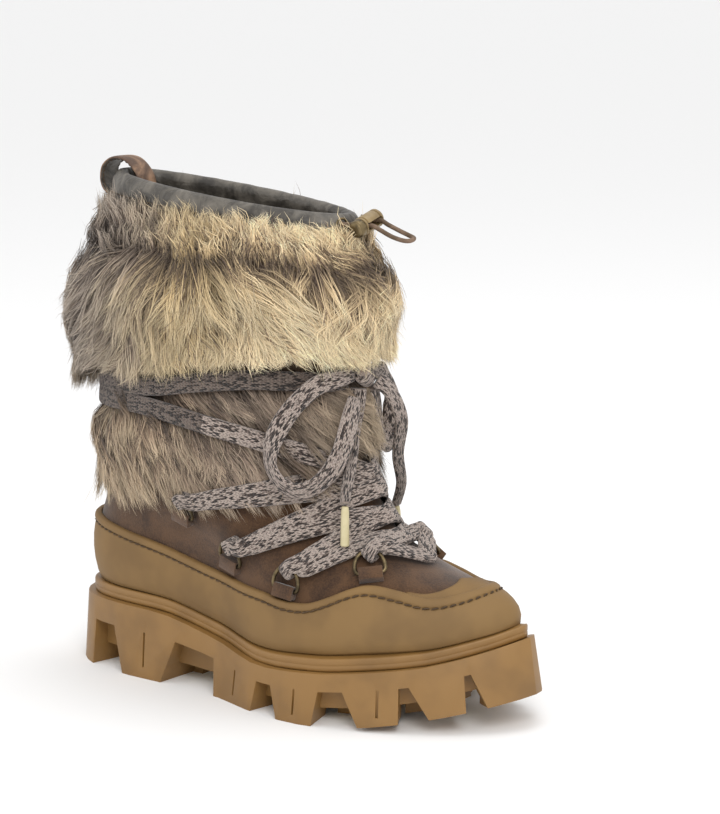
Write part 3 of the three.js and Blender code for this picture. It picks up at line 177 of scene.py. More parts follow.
def outline_at(turn, inset=0.0):
    wrapped = np.mod(np.asarray(turn, dtype=float), 1)
    place = np.where(wrapped < 0.5, wrapped * 2 * TOE_TURN, TOE_TURN + (wrapped - 0.5) * 2 * (1 - TOE_TURN))
    point = closed_curve(TREAD_POINTS, place)
    ahead = closed_curve(TREAD_POINTS, place + 0.0001) - closed_curve(TREAD_POINTS, place - 0.0001)
    ahead /= np.linalg.norm(ahead, axis=-1, keepdims=True)
    inset = np.broadcast_to(inset, point.shape[:-1])
    return np.stack([point[..., 0] - ahead[..., 1] * inset, point[..., 1] + ahead[..., 0] * inset], axis=-1)


def edge_at(x):
    along = np.clip(np.asarray(x) / SOLE, 0, 1)
    ball = 25 + (39 - 25) * look_up(EDGE_BACK, np.minimum(along, 0.65))
    front = ball + (48.5 - ball) * look_up(EDGE_FRONT, along)
    return np.where(along <= 0.65, ball, front)


def welt_top(x):
    return edge_at(x) + GAP + 7


def on_upper(row, turn):
    row, turn = np.broadcast_arrays(np.asarray(row, dtype=float), np.asarray(turn, dtype=float))
    back, front, outer, inner, heel, toe, follow, leg, wide = np.moveaxis(spline(RINGS, row), -1, 0)
    foot = outline_at(turn)
    foot_along = foot[..., 0] / SOLE
    foot_across = foot[..., 1] / np.where(foot[..., 1] < 0, OUT_HALF, IN_HALF)
    angle = turn * 2 * np.pi
    leg_along = np.clip(0.5 - 0.5 * np.cos(angle), 0, 1) ** (np.log(wide) / np.log(0.5))
    along = foot_along + (leg_along - foot_along) * leg
    across = foot_across + (-np.sin(angle) - foot_across) * leg
    x = (back + (front - back) * along) * SOLE
    y = across * np.where(across < 0, outer * OUT_HALF, inner * IN_HALF)
    low, high = welt_top(0.0), welt_top(SOLE)
    chord = low + (high - low) * along
    z = chord + (heel + (toe - heel) * along) * LEG + follow * (welt_top(x) - chord)
    return np.stack([x, y, z], axis=-1)


def unit(vectors):
    return vectors / np.maximum(np.linalg.norm(vectors, axis=-1, keepdims=True), 1e-9)


def upper_normal(row, turn):
    row = np.clip(row, 0.03, RIM + 0.5)
    along = on_upper(row, turn + 0.004) - on_upper(row, turn - 0.004)
    up = on_upper(row + 0.05, turn) - on_upper(row - 0.03, turn)
    return unit(np.cross(along, up))


def skin(row, turn, offset=0.0):
    """A point off the upper's outside, kept above the welt."""
    row, turn, offset = np.broadcast_arrays(row, turn, offset)
    point = on_upper(row, turn) + upper_normal(row, turn) * offset[..., None]
    point[..., 2] = np.maximum(point[..., 2], welt_top(point[..., 0]) + 0.8)
    return point


LIP = (RAND[0], [0.96, 0.9, 0.81, 0.75, 0.74, 0.77, 0.77, 0.7, *RAND[1][8:]])


def rand_lift(x):
    return look_up(RAND, x / SOLE) * 40


def lip_lift(x):
    """How far the rand's lip stands over the welt, dipping a little behind the rings' tabs."""
    return look_up(LIP, x / SOLE) * 40


def row_at_lift(turn, lift_at):
    """The row at which the upper stands a height above the welt."""
    turn = np.asarray(turn, dtype=float)
    low, high = np.zeros(turn.shape), np.full(turn.shape, 9.0)
    for _ in range(22):
        middle = (low + high) / 2
        point = on_upper(middle, turn)
        under = point[..., 2] - welt_top(point[..., 0]) < lift_at(point[..., 0])
        low = np.where(under, middle, low)
        high = np.where(under, high, middle)
    return low


def line_at(key, turn):
    wrapped = np.mod(turn, 1)
    return look_up((LINE_TURNS, LINES[key]), np.minimum(wrapped, 1 - wrapped))


def smooth(value):
    return value * value * (3 - 2 * value)


def mix(a, b, share):
    return a + (b - a) * share


# Meshes

def add_mesh(name, points, faces, material, uvs=None, tints=None):
    """An object from points in millimetres, with a UV and a tint for each point."""
    mesh = bpy.data.meshes.new(name)
    points = to_row(points)
    faces = np.asarray(faces, dtype=np.int32)
    sides = faces.shape[1]
    mesh.vertices.add(len(points))
    mesh.vertices.foreach_set("co", points.astype(np.float32).ravel())
    mesh.loops.add(faces.size)
    mesh.loops.foreach_set("vertex_index", faces.ravel())
    mesh.polygons.add(len(faces))
    mesh.polygons.foreach_set("loop_start", np.arange(0, faces.size, sides, dtype=np.int32))
    mesh.update(calc_edges=True)
    if uvs is not None:
        layer = mesh.uv_layers.new(name="UVMap")
        layer.data.foreach_set("uv", np.asarray(uvs, dtype=np.float32)[faces.ravel()].ravel())
    if tints is not None:
        layer = mesh.color_attributes.new("tint", "FLOAT_COLOR", "POINT")
        layer.data.foreach_set("color", np.asarray(tints, dtype=np.float32).ravel())
    mesh.polygons.foreach_set("use_smooth", np.ones(len(faces), dtype=bool))
    mesh.materials.append(material)
    mesh.validate()
    piece = bpy.data.objects.new(name, mesh)
    bpy.context.collection.objects.link(piece)
    return piece


def grid_faces(rows, columns, closed_columns=True, closed_rows=False, start=0):
    i = np.arange(columns if closed_columns else columns - 1)
    k = np.arange(rows if closed_rows else rows - 1)
    kk, ii = np.meshgrid(k, i, indexing="ij")
    j, up = (ii + 1) % columns, (kk + 1) % rows
    quads = [kk * columns + ii, kk * columns + j, up * columns + j, up * columns + ii]
    return start + np.stack(quads, axis=-1).reshape(-1, 4)


def tidy_normals(piece):
    mesh = bmesh.new()
    mesh.from_mesh(piece.data)
    bmesh.ops.recalc_face_normals(mesh, faces=mesh.faces)
    mesh.to_mesh(piece.data)
    mesh.free()
    return piece


def loft(name, rings, material, looped=False):
    """A closed skin over rings of equal counts, capped by fans unless it is looped."""
    rings = np.asarray(rings, dtype=float)
    rows, columns = rings.shape[:2]
    points = rings.reshape(-1, 3)
    faces = grid_faces(rows, columns, closed_rows=looped)
    if not looped:
        middle = np.array([rings[0].mean(axis=0), rings[-1].mean(axis=0)])
        first, last = len(points), len(points) + 1
        i = np.arange(columns)
        j = (i + 1) % columns
        caps = np.concatenate([
            np.stack([j, i, np.full(columns, first), np.full(columns, first)], axis=-1),
            np.stack([(rows - 1) * columns + i, (rows - 1) * columns + j,
                      np.full(columns, last), np.full(columns, last)], axis=-1),
        ])
        points = np.concatenate([points, middle])
    piece = add_mesh(name, points, faces, material)
    if not looped:
        mesh = bmesh.new()
        mesh.from_mesh(piece.data)
        mesh.verts.ensure_lookup_table()
        for a, b, c, _ in caps:
            mesh.faces.new([mesh.verts[a], mesh.verts[b], mesh.verts[c]]).smooth = True
        mesh.to_mesh(piece.data)
        mesh.free()
    return tidy_normals(piece)


def resample(path, step):
    """Points every step along a smooth line through path, and how far along each lies."""
    path = np.asarray(path, dtype=float)
    fine = spline(path, np.linspace(0, len(path) - 1, (len(path) - 1) * 12 + 1))
    lengths = np.concatenate([[0], np.cumsum(np.linalg.norm(np.diff(fine, axis=0), axis=1))])
    count = max(int(round(lengths[-1] / step)), 4)
    wanted = np.linspace(0, lengths[-1], count + 1)
    places = np.interp(wanted, lengths, np.linspace(0, len(path) - 1, len(fine)))
    return spline(path, places), wanted, places


def carried(path, facings, places):
    """A line's directions, and its facings made square to them."""
    ahead = unit(np.gradient(path, axis=0))
    facing = spline(facings, places)
    facing = facing - ahead * np.sum(facing * ahead, axis=1, keepdims=True)
    return ahead, unit(facing)


def strip(name, path, facings, width, thickness, material, step=1.6, corners=14, wide=None, squash=None):
    """A soft flat band along a path, with rounded edges and a UV in millimetres."""
    line, along, places = resample(path, step)
    ahead, up = carried(line, np.asarray(facings, dtype=float), places)
    across = np.cross(ahead, up)
    wide = np.ones(len(line)) if wide is None else spline(np.asarray(wide, dtype=float), places)
    angle = np.linspace(0, 2 * np.pi, corners, endpoint=False)
    a = np.sign(np.cos(angle)) * np.abs(np.cos(angle)) ** 0.55 * width / 2
    b = np.sign(np.sin(angle)) * np.abs(np.sin(angle)) ** 0.75 * thickness / 2
    pinch = 1 + (1 - wide) * 0.5
    rings = (line[:, None] + across[:, None] * (a[None, :, None] * wide[:, None, None])
             + up[:, None] * (b[None, :, None] * pinch[:, None, None]))
    u = np.concatenate([[0], np.cumsum(np.hypot(np.diff(a), np.diff(b)))])
    points = rings.reshape(-1, 3)
    rows = len(line)
    faces = grid_faces(rows, corners)
    uvs = np.stack(np.broadcast_arrays(u[None, :], along[:, None]), axis=-1).reshape(-1, 2)
    piece = add_mesh(name, points, faces, material, uvs=uvs)
    mesh = bmesh.new()
    mesh.from_mesh(piece.data)
    mesh.verts.ensure_lookup_table()
    for ring in (range(corners - 1, -1, -1), range((rows - 1) * corners, rows * corners)):
        mesh.faces.new([mesh.verts[k] for k in ring]).smooth = True
    bmesh.ops.recalc_face_normals(mesh, faces=mesh.faces)
    mesh.to_mesh(piece.data)
    mesh.free()
    return piece, line, along[-1]


def tube(name, path, diameter, material, step=1.0, corners=12, closed=False):
    line, along, _ = resample(path, step)
    ahead = unit(np.gradient(line, axis=0))
    up = np.zeros_like(line)
    up[0] = unit(np.cross(ahead[0], [0.3, 0.5, 0.8]))
    for k in range(1, len(line)):
        up[k] = unit(up[k - 1] - ahead[k] * np.dot(up[k - 1], ahead[k]))
    side = np.cross(ahead, up)
    angle = np.linspace(0, 2 * np.pi, corners, endpoint=False)
    rings = (line[:, None] + up[:, None] * (np.cos(angle)[None, :, None] * diameter / 2)
             + side[:, None] * (np.sin(angle)[None, :, None] * diameter / 2))
    if closed:
        piece = loft(name, rings[:-1], material, looped=True)
    else:
        piece = loft(name, rings, material)
    return piece, line, along[-1]


def joined(name, pieces):
    """One object from several, which share its materials."""
    bpy.ops.object.select_all(action="DESELECT")
    for piece in pieces:
        piece.select_set(True)
    bpy.context.view_layer.objects.active = pieces[0]
    bpy.ops.object.join()
    pieces[0].name = name
    pieces[0].data.name = name
    return pieces[0]


def deselect():
    if bpy.context.object and bpy.context.object.mode != "OBJECT":
        bpy.ops.object.mode_set(mode="OBJECT")
    bpy.ops.object.select_all(action="DESELECT")


def worked(piece):
    """Makes a piece the only one that the next operators work on."""
    deselect()
    piece.select_set(True)
    bpy.context.view_layer.objects.active = piece
    return piece


def apply_all(piece):
    worked(piece)
    for modifier in list(piece.modifiers):
        bpy.ops.object.modifier_apply(modifier=modifier.name)
    bpy.ops.object.transform_apply(location=True, rotation=True, scale=True)
    return piece


def copy_of(node, name, material):
    """A merged copy of one of the frame's solids."""
    piece = frame["nodes"][node].copy()
    piece.data = piece.data.copy()
    piece.name = name
    piece.data.name = name
    piece.animation_data_clear()
    bpy.context.collection.objects.link(piece)
    piece.parent = None
    piece.matrix_world = Matrix.Identity(4)
    piece.data.materials.clear()
    piece.data.materials.append(material)
    mesh = bmesh.new()
    mesh.from_mesh(piece.data)
    bmesh.ops.remove_doubles(mesh, verts=mesh.verts, dist=1e-6)
    mesh.to_mesh(piece.data)
    mesh.free()
    return piece


def placed(piece, direction, place):
    """Turns a piece's z axis to a direction and puts its origin at a place."""
    direction = Vector(direction).normalized()
    turn = Vector((0, 0, 1)).rotation_difference(direction).to_matrix().to_4x4()
    piece.data.transform(Matrix.Translation(Vector(to_row(place))) @ turn)
    return piece


# Materials

def linear(code):
    values = [int(code[k:k + 2], 16) / 255 for k in (1, 3, 5)]
    return tuple(((v + 0.055) / 1.055) ** 2.4 if v > 0.04045 else v / 12.92
                 for v in values) + (1.0,)


def new_material(name):
    material = bpy.data.materials.new(name)
    material.use_nodes = True
    tree = material.node_tree
    tree.nodes.clear()
    shader = node(tree, "ShaderNodeBsdfPrincipled")
    node(tree, "ShaderNodeOutputMaterial", Surface=shader.outputs[0])
    return material, tree, shader


def node(tree, kind, settings=None, **inputs):
    """Adds a node with its settings, and links or sets its inputs."""
    made = tree.nodes.new(kind)
    for key, value in (settings or {}).items():
        setattr(made, key, value)
    for key, value in inputs.items():
        name = key.replace("_", " ")
        socket = made.inputs[int(key[1:])] if key[0] == "i" and key[1:].isdigit() else made.inputs[name]
        if isinstance(value, bpy.types.NodeSocket):
            tree.links.new(value, socket)
        else:
            socket.default_value = value
    return made


def ramp(tree, value, stops, smooth_steps=False):
    made = node(tree, "ShaderNodeValToRGB", Fac=value)
    if smooth_steps:
        made.color_ramp.interpolation = "EASE"
    elements = made.color_ramp.elements
    while len(elements) < len(stops):
        elements.new(0.5)
    for element, (place, colour) in zip(elements, stops):
        element.position = place
        element.color = linear(colour) if isinstance(colour, str) else (colour, colour, colour, 1.0)
    return made.outputs["Color"]


def noise(tree, size, detail=3.0, roughness=0.55, distortion=0.0):
    """Noise whose grains are about a size in millimetres across."""
    vector = node(tree, "ShaderNodeTexCoord").outputs["Object"]
    return node(tree, "ShaderNodeTexNoise", i0=vector, Scale=1000.0 / size, Detail=detail,
                Roughness=roughness, Distortion=distortion).outputs["Fac"]


def math_node(tree, operation, a, b=0.5, c=0.0):
    return node(tree, "ShaderNodeMath", {"operation": operation}, i0=a, i1=b, i2=c).outputs[0]


def mix_colour(tree, share, a, b):
    made = node(tree, "ShaderNodeMix", {"data_type": "RGBA"})
    for socket, value in ((0, share), (6, a), (7, b)):
        if isinstance(value, bpy.types.NodeSocket):
            tree.links.new(value, made.inputs[socket])
        else:
            made.inputs[socket].default_value = linear(value) if isinstance(value, str) else value
    return made.outputs[2]


def bump(tree, shader, height, distance, strength=1.0, under=None):
    made = node(tree, "ShaderNodeBump", Height=height, Distance=distance / 1000.0, Strength=strength)
    if under is not None:
        tree.links.new(under, made.inputs["Normal"])
    tree.links.new(made.outputs[0], shader.inputs["Normal"])
    return made.outputs[0]


def rubber_material(name, light, dark, roughness, grain):
    """Moulded natural rubber: even caramel colour, faint clouds, fine grain, soft gloss."""
    material, tree, shader = new_material(name)
    clouds = noise(tree, 38, 3.0)
    shader.inputs["Roughness"].default_value = roughness
    colour = ramp(tree, clouds, [(0.35, dark), (0.62, light)], True)
    tree.links.new(colour, shader.inputs["Base Color"])
    shader.inputs["IOR"].default_value = 1.5
    bump(tree, shader, noise(tree, grain, 4.0, 0.6), 0.12, 0.35)
    return material


def suede_material(name, light, dark):
    """Sueded calf: short nap that brushes into lighter and darker patches, no gloss."""
    material, tree, shader = new_material(name)
    patches = noise(tree, 16, 4.0, 0.6, 0.6)
    nap = noise(tree, 0.9, 3.0, 0.7)
    both = math_node(tree, "MULTIPLY_ADD", nap, 0.45, math_node(tree, "MULTIPLY", patches, 0.62))
    colour = ramp(tree, both, [(0.34, dark), (0.66, light)], True)
    tree.links.new(colour, shader.inputs["Base Color"])
    shader.inputs["Roughness"].default_value = 0.92
    shader.inputs["Specular IOR Level"].default_value = 0.25
    shader.inputs["Sheen Weight"].default_value = 0.35
    shader.inputs["Sheen Roughness"].default_value = 0.5
    bump(tree, shader, nap, 0.25, 0.6)
    return material


def leather_material(name, light, dark, roughness, crease=9.0):
    """Waxed soft leather: rubbed lighter clouds, fine creases, half gloss."""
    material, tree, shader = new_material(name)
    clouds = noise(tree, 15, 5.0, 0.62, 0.8)
    colour = ramp(tree, clouds, [(0.36, dark), (0.68, light)], True)
    tree.links.new(colour, shader.inputs["Base Color"])
    shader.inputs["Roughness"].default_value = roughness
    shader.inputs["IOR"].default_value = 1.48
    creases = noise(tree, crease, 4.0, 0.6, 1.5)
    pores = node(tree, "ShaderNodeTexVoronoi", {"feature": "DISTANCE_TO_EDGE"},
                 i0=node(tree, "ShaderNodeTexCoord").outputs["Object"], Scale=1000 / 1.3).outputs["Distance"]
    first = node(tree, "ShaderNodeBump", Height=pores, Distance=0.0001, Strength=0.25).outputs[0]
    bump(tree, shader, creases, 1.6, 0.55, first)
    return material


def lace_material(name, light, middle, dark):
    """Flat knitted wool lace: V stitches 2.0 mm long in wales 1.75 mm wide, flecked yarn."""
    material, tree, shader = new_material(name)
    uv = node(tree, "ShaderNodeUVMap", {"uv_map": "UVMap"}).outputs[0]
    parts = node(tree, "ShaderNodeSeparateXYZ", i0=uv)
    wale = math_node(tree, "MULTIPLY", parts.outputs[0], 1 / 1.75)
    half = math_node(tree, "PINGPONG", wale, 0.5)
    course = math_node(tree, "ADD", math_node(tree, "MULTIPLY", parts.outputs[1], 1 / 2.0),
                       math_node(tree, "MULTIPLY", half, 1.5))
    row = math_node(tree, "FLOOR", course, 0)
    side = math_node(tree, "FLOOR", math_node(tree, "MULTIPLY", wale, 2.0), 0)
    cell = node(tree, "ShaderNodeCombineXYZ", X=side, Y=row, Z=0.0).outputs[0]
    yarn = node(tree, "ShaderNodeTexWhiteNoise", {"noise_dimensions": "3D"}, i0=cell).outputs["Value"]
    fleck = noise(tree, 1.3, 2.0, 0.7)
    tone = math_node(tree, "ADD", math_node(tree, "MULTIPLY", yarn, 0.62),
                     math_node(tree, "MULTIPLY", fleck, 0.55))
    colour = ramp(tree, tone, [(0.36, dark), (0.47, middle), (0.57, light), (0.9, light)])
    arch = math_node(tree, "SINE", math_node(tree, "MULTIPLY",
                     math_node(tree, "FRACT", course, 0), math.pi), 0)
    ridge = math_node(tree, "SINE", math_node(tree, "MULTIPLY",
                      math_node(tree, "FRACT", math_node(tree, "MULTIPLY", wale, 2.0), 0), math.pi), 0)
    height = math_node(tree, "MULTIPLY", arch, math_node(tree, "POWER", ridge, 0.5))
    # The hollows between the stitches are mixed towards the dark yarn colour: painted shade.
    shade = mix_colour(tree, math_node(tree, "MULTIPLY_ADD", height, -0.6, 0.55), colour, dark)
    tree.links.new(shade, shader.inputs["Base Color"])
    shader.inputs["Roughness"].default_value = 0.95
    shader.inputs["Specular IOR Level"].default_value = 0.15
    shader.inputs["Sheen Weight"].default_value = 0.25
    fibres = noise(tree, 0.5, 2.0)
    fuzz = node(tree, "ShaderNodeBump", Height=fibres, Distance=0.0003, Strength=0.5).outputs[0]
    bump(tree, shader, height, 0.9, 0.9, fuzz)
    return material


def fur_material(name, roughness=0.62):
    """Long sheepskin hair: each hair's colour from root to tip, its own tone with painted light and shade, a
    soft silky gloss.
    """
    material, tree, shader = new_material(name)
    tint = node(tree, "ShaderNodeAttribute", {"attribute_name": "tint"}).outputs["Color"]
    tree.links.new(tint, shader.inputs["Base Color"])
    shader.inputs["Roughness"].default_value = roughness
    shader.inputs["Specular IOR Level"].default_value = 0.35
    shader.inputs["Sheen Weight"].default_value = 0.15
    return material


def metal_material(name, light, dark, roughness):
    """Cast zinc with an antique brass plating, rubbed on its edges and dull olive in its hollows; drawn as
    clouds of lighter and darker brass.
    """
    material, tree, shader = new_material(name)
    colour = ramp(tree, noise(tree, 6, 4.0, 0.6), [(0.35, dark), (0.65, light)], True)
    tree.links.new(colour, shader.inputs["Base Color"])
    shader.inputs["Metallic"].default_value = 0.85
    shader.inputs["Roughness"].default_value = roughness
    bump(tree, shader, noise(tree, 0.8, 3.0), 0.05, 0.3)
    return material


def plastic_material(name, light, dark, roughness):
    """Moulded nylon: even colour with a faint matt grain."""
    material, tree, shader = new_material(name)
    colour = ramp(tree, noise(tree, 9, 3.0), [(0.35, dark), (0.65, light)], True)
    tree.links.new(colour, shader.inputs["Base Color"])
    shader.inputs["Roughness"].default_value = roughness
    bump(tree, shader, noise(tree, 0.4, 2.0), 0.04, 0.4)
    return material


finishes = {}


def finish_named(name, maker, *values):
    if name not in finishes:
        finishes[name] = maker(name, *values)
    return finishes[name]


def finishes_made():
    finish_named("caramel_rubber_moulded", rubber_material, "#896636", "#7a5a2f", 0.5, 0.9)
    finish_named("rand_rubber_matte", rubber_material, "#7d6036", "#70552f", 0.7, 0.6)
    finish_named("tread_core_rubber", rubber_material, "#c9bb9c", "#baa985", 0.6, 0.9)
    finish_named("vamp_suede", suede_material, "#593f29", "#342318")
    finish_named("collar_leather_waxed", leather_material, "#6c665d", "#36322d", 0.46)
    finish_named("lining_leather", leather_material, "#6a635a", "#3a342f", 0.6)
    finish_named("strap_leather_grained", leather_material, "#94745a", "#523c2d", 0.62)
    finish_named("footbed_felt", suede_material, "#8d8272", "#6f6557")
    finish_named("lace_wool_knitted", lace_material, "#cbb9ad", "#64534a", "#2a201c")
    # A darker copy of the lace's finish, for the lace that runs under the fur: painted shade.
    finish_named("lace_wool_shaded", lace_material, "#86766b", "#493b33", "#231b17")
    finish_named("hair_long", fur_material)
    # Dark brown under the long hair: the wool's own colour and painted shade deep in the pile.
    finish_named("underfur_dense", suede_material, "#6b5848", "#2c221b")
    finish_named("brass_antique", metal_material, "#7b6b4e", "#463d2c", 0.42)
    finish_named("stopper_nylon", plastic_material, "#8f7a54", "#7c6845", 0.42)
    finish_named("aglet_nylon", plastic_material, "#c6bb95", "#b9ad85", 0.35)
    finish_named("cord_waxed", plastic_material, "#7c6553", "#54422f", 0.7)
    finish_named("thread_waxed", plastic_material, "#4f3a22", "#402e1a", 0.7)
    return finishes


# Rings of the lacing: along, and how high over the rand's lip

RING_PLACES = [(0.723, 5.2), (0.58, 5.2), (0.446, 5.2), (0.329, 18.72)]
RING_WIDTH, RING_RISE, RING_WIRE, RING_TILT = 18.0, 12.0, 2.2, 0.22
TAB_THICKNESS = 4.6
LACE_WIDTH, LACE_THICKNESS = 10.5, 3.4


def ring_frame(along, lift, side):
    turn_of = (lambda share: share) if side == "outer" else (lambda share: 1 - share)

    def on_line(share):
        turn = np.array(turn_of(share))
        row = row_at_lift(turn, lambda x: rand_lift(x) + lift)
        return turn, row, on_upper(row, turn)

    low, high = 0.12, 0.5
    for _ in range(20):
        middle = (low + high) / 2
        if on_line(middle)[2][0] < along * SOLE:
            low = middle
        else:
            high = middle
    turn, row, point = on_line(low)
    out = upper_normal(row, turn)
    ahead = on_line(low + 0.01)[2] - on_line(low - 0.01)[2]
    bar = unit(ahead - out * np.dot(ahead, out))
    up = np.cross(out, bar)
    up = up if up[2] > 0 else -up
    middle = point + out * (GAP + TAB_THICKNESS / 2)
    rise = up * math.cos(RING_TILT) + out * math.sin(RING_TILT)
    face = out * math.cos(RING_TILT) - up * math.sin(RING_TILT)
    arc = middle + rise * (RING_RISE - RING_WIRE / 2)
    return {"turn": float(turn), "row": float(row), "bar": bar, "up": up, "out": out,
            "rise": rise, "face": face, "middle": middle, "arc": arc}


def ankle_fur(row, turn):
    """How thick the ankle's fur lies over the upper: full between the laces, pressed along them."""
    wrapped = np.mod(turn, 1)
    front = 0.5 - 0.5 * np.cos(wrapped * 2 * np.pi)
    full = 12 * (1 - 0.25 * np.sin(wrapped * 2 * np.pi) ** 2) * mix(1, 0.8, front)
    z = on_upper(row, turn)[..., 2]
    away = np.minimum(*(np.abs(z - on_upper(line_at(key, turn), turn)[..., 2]) for key in ("low", "high")))
    pressed = smooth(np.clip((away - LACE_WIDTH * 0.62) / 8, 0, 1))
    opened = smooth(np.clip((row - line_at("edge", turn)) / 1.3, 0, 1))
    return mix(4, mix(2.5, full, opened), pressed * (row <= line_at("high", turn)))


SWELL = ([0, 0.1, 0.28, 0.48, 0.7, 0.87, 1], [0.35, 0.68, 0.94, 1, 0.87, 0.62, 0.34])


def cuff_foot(turn):
    return line_at("high", turn) + 0.34


CUFF_TOP = RIM - 0.53


def cuff_fur(row, turn):
    angle = turn * 2 * np.pi
    pile = 31 * (0.73 + 0.2 * np.cos(2 * angle) + 0.06 * np.cos(angle))
    at = (row - cuff_foot(turn)) / (CUFF_TOP - cuff_foot(turn))
    return pile * look_up(SWELL, np.clip(at, 0, 1))


# The lacing's way over the boot

TAUT_PASSES = 24


def lace_pad(row, turn):
    """How far the lace's middle stands off the upper, over its fur where there is any."""
    on_fur = smooth(np.clip((row - line_at("edge", turn)) / 0.5 + 1.4, 0, 1))
    return 3.4 + on_fur * (ankle_fur(row, turn) + 0.72)


def nearest_on_upper(points, rows, turns):
    """The rows and turns of the upper nearest to points, searched from a start."""
    tries = np.array([(r, t) for r in (0, 1, -1) for t in (0, 1, -1)], dtype=float)
    step = 0.5
    pick = np.arange(len(points))
    while step > 0.004:
        r = rows[:, None] + tries[None, :, 0] * step
        t = turns[:, None] + tries[None, :, 1] * step * 0.06
        far = np.linalg.norm(on_upper(r, t) - points[:, None], axis=-1)
        best = far.argmin(axis=1)
        rows, turns = r[pick, best], t[pick, best]
        step /= 1.7
    return rows, turns


def on_leg(row, turn, lift=0.0):
    row, turn = np.array(float(row)), np.array(float(turn))
    return skin(row, turn, lace_pad(row, turn) + lift), upper_normal(row, turn)


def taut(start, end, start_at, end_at, count):
    """The steps of a taut lace between two points, over the upper and its fur."""
    share = (np.arange(count) + 1) / (count + 1)
    points = start + (end - start) * share[:, None]
    rows = mix(start_at[0], end_at[0], share)
    turns = mix(start_at[1], end_at[1], share)
    for _ in range(TAUT_PASSES):
        whole = np.concatenate([[start], points, [end]])
        middle = (whole[:-2] + whole[2:]) / 2
        rows, turns = nearest_on_upper(middle, rows, turns)
        out = upper_normal(rows, turns)
        off = np.sum((middle - on_upper(rows, turns)) * out, axis=1)
        points = middle + out * np.maximum(lace_pad(rows, turns) - off, 0)[:, None]
    return [(point, facing, 1.0) for point, facing in zip(points, out)]


def ring_exit(ring, goal, over):
    """How a lace leaves a ring for a goal: in front of the arc's wire or behind it."""
    way = goal - ring["middle"]
    lean = np.clip(math.atan2(way @ ring["bar"], way @ ring["rise"]), -0.9, 0.9)
    ahead = ring["rise"] * math.cos(lean) + ring["bar"] * math.sin(lean)
    reach = mix(0.6, 0.83, abs(lean) / 0.9)
    face = ring["face"]
    front = 1.0 if over else -1.0
    point = ring["middle"] + ring["rise"] * RING_RISE * 0.46 + ahead * RING_RISE * (reach + 0.26)
    arc = ring["arc"] + ring["bar"] * math.sin(lean) * 2.0
    radius = 2.95
    fold = [(arc + face * radius * math.cos(a) * front - ahead * radius * math.sin(a),
             unit(face * math.cos(a) * front - ahead * math.sin(a)), 0.8)
            for a in (math.pi / 2, math.pi / 4, 0.0)]
    near = (arc + face * radius * front * 0.8 + ahead * 3.0, face * front, 0.8)
    return [*fold, near, (point + face * front * 0.7, face * front, 0.92)]


CRESTS = [(5.9, 0.0), (7.0, 0.3), (7.9, 0.9), (8.6, 2.6)]


def strand_between(first, second, crest, lift, overs):
    """A strand from one ring's arc over the vamp to another's: points, outward facings, widths."""
    top, top_out = on_leg(crest, 0.5, lift)

    def half(ring, over):
        leaving = ring_exit(ring, top, over)
        way = taut(leaving[-1][0], top, (ring["row"] + 1, ring["turn"]), (crest, 0.5), 4)
        flip = 1.0 if over else -1.0
        return [(p, f * flip, w) if k < len(leaving) else (p, f, w)
                for k, (p, f, w) in enumerate([*leaving, *way])]

    return [*half(first, overs[0]), (top, top_out, 1.0), *half(second, overs[1])[::-1]]


def wrap_around(side, rings):
    """From the last ring over the vamp, round the heel low down and back to the knot high up."""
    turn_of = (lambda share: share) if side == "outer" else (lambda share: 1 - share)
    lift = LACE_THICKNESS * 0.7 if side == "outer" else 0.0
    ring = rings[side][3]
    goal = on_upper(np.array(7.9), np.array(turn_of(0.36)))
    leaving = ring_exit(ring, goal, True)
    crest, crest_out = on_leg(8.95, 0.5, lift + 1)

    def along(key, stations):
        return [(*on_leg(line_at(key, s / 32), turn_of(s / 32)), 1.0) for s in stations]

    low = along("low", [20, 21, 23, 25, 27, 28, 29, 30, 31])
    behind = on_leg((line_at("low", 0.0) + line_at("high", 0.0)) / 2, turn_of(1.0), lift)
    last = on_leg(line_at("high", 15.1 / 32), turn_of(15.1 / 32), 0.5)
    return [
        *leaving,
        *taut(leaving[-1][0], crest, (ring["row"] + 1, ring["turn"]), (8.95, 0.5), 6),
        (crest, crest_out, 1.0),
        *taut(crest, low[0][0], (8.95, 0.5), (float(line_at("low", 20 / 32)), turn_of(20 / 32)), 2),
        *low, (*behind, 1.0),
        *along("high", [1, 2, 3, 4, 5, 7, 9, 11, 12, 13, 14]), (*last, 1.0),
    ]


def lace_chain(rings):
    """The whole lace over the vamp, from one wrap's end through all rings to the other's."""
    outer, inner = rings["outer"], rings["inner"]
    back = {}
    for k in (1, 2, 3):
        crest, lift = CRESTS[k]
        back["outer", k] = strand_between(outer[k - 1], inner[k], crest, lift + LACE_THICKNESS * 0.7,
                                          (True, False))
        back["inner", k] = strand_between(inner[k - 1], outer[k], crest, lift, (True, False))
    front = strand_between(outer[0], inner[0], CRESTS[0][0], CRESTS[0][1], (False, False))
    legs = [
        wrap_around("outer", rings)[::-1], back["inner", 3][::-1], back["outer", 2][::-1],
        back["inner", 1][::-1], front[::-1], back["outer", 1], back["inner", 2], back["outer", 3],
        wrap_around("inner", rings),
    ]
    chain = []
    sign = 1.0
    for leg in legs:
        facings = [f * sign for _, f, _ in leg]
        if chain:
            leg, facings = leg[1:], facings[1:]
        chain += [(p, f, w) for (p, _, w), f in zip(leg, facings)]
        sign = -sign
    return chain


# The bow and the draw cord: the routes that the solids follow too

KNOT = on_upper(line_at("high", np.array(0.5)), np.array(0.5)) + np.array([14.3424, -4.0, 4.5107])
BOW_DROP = 60.0
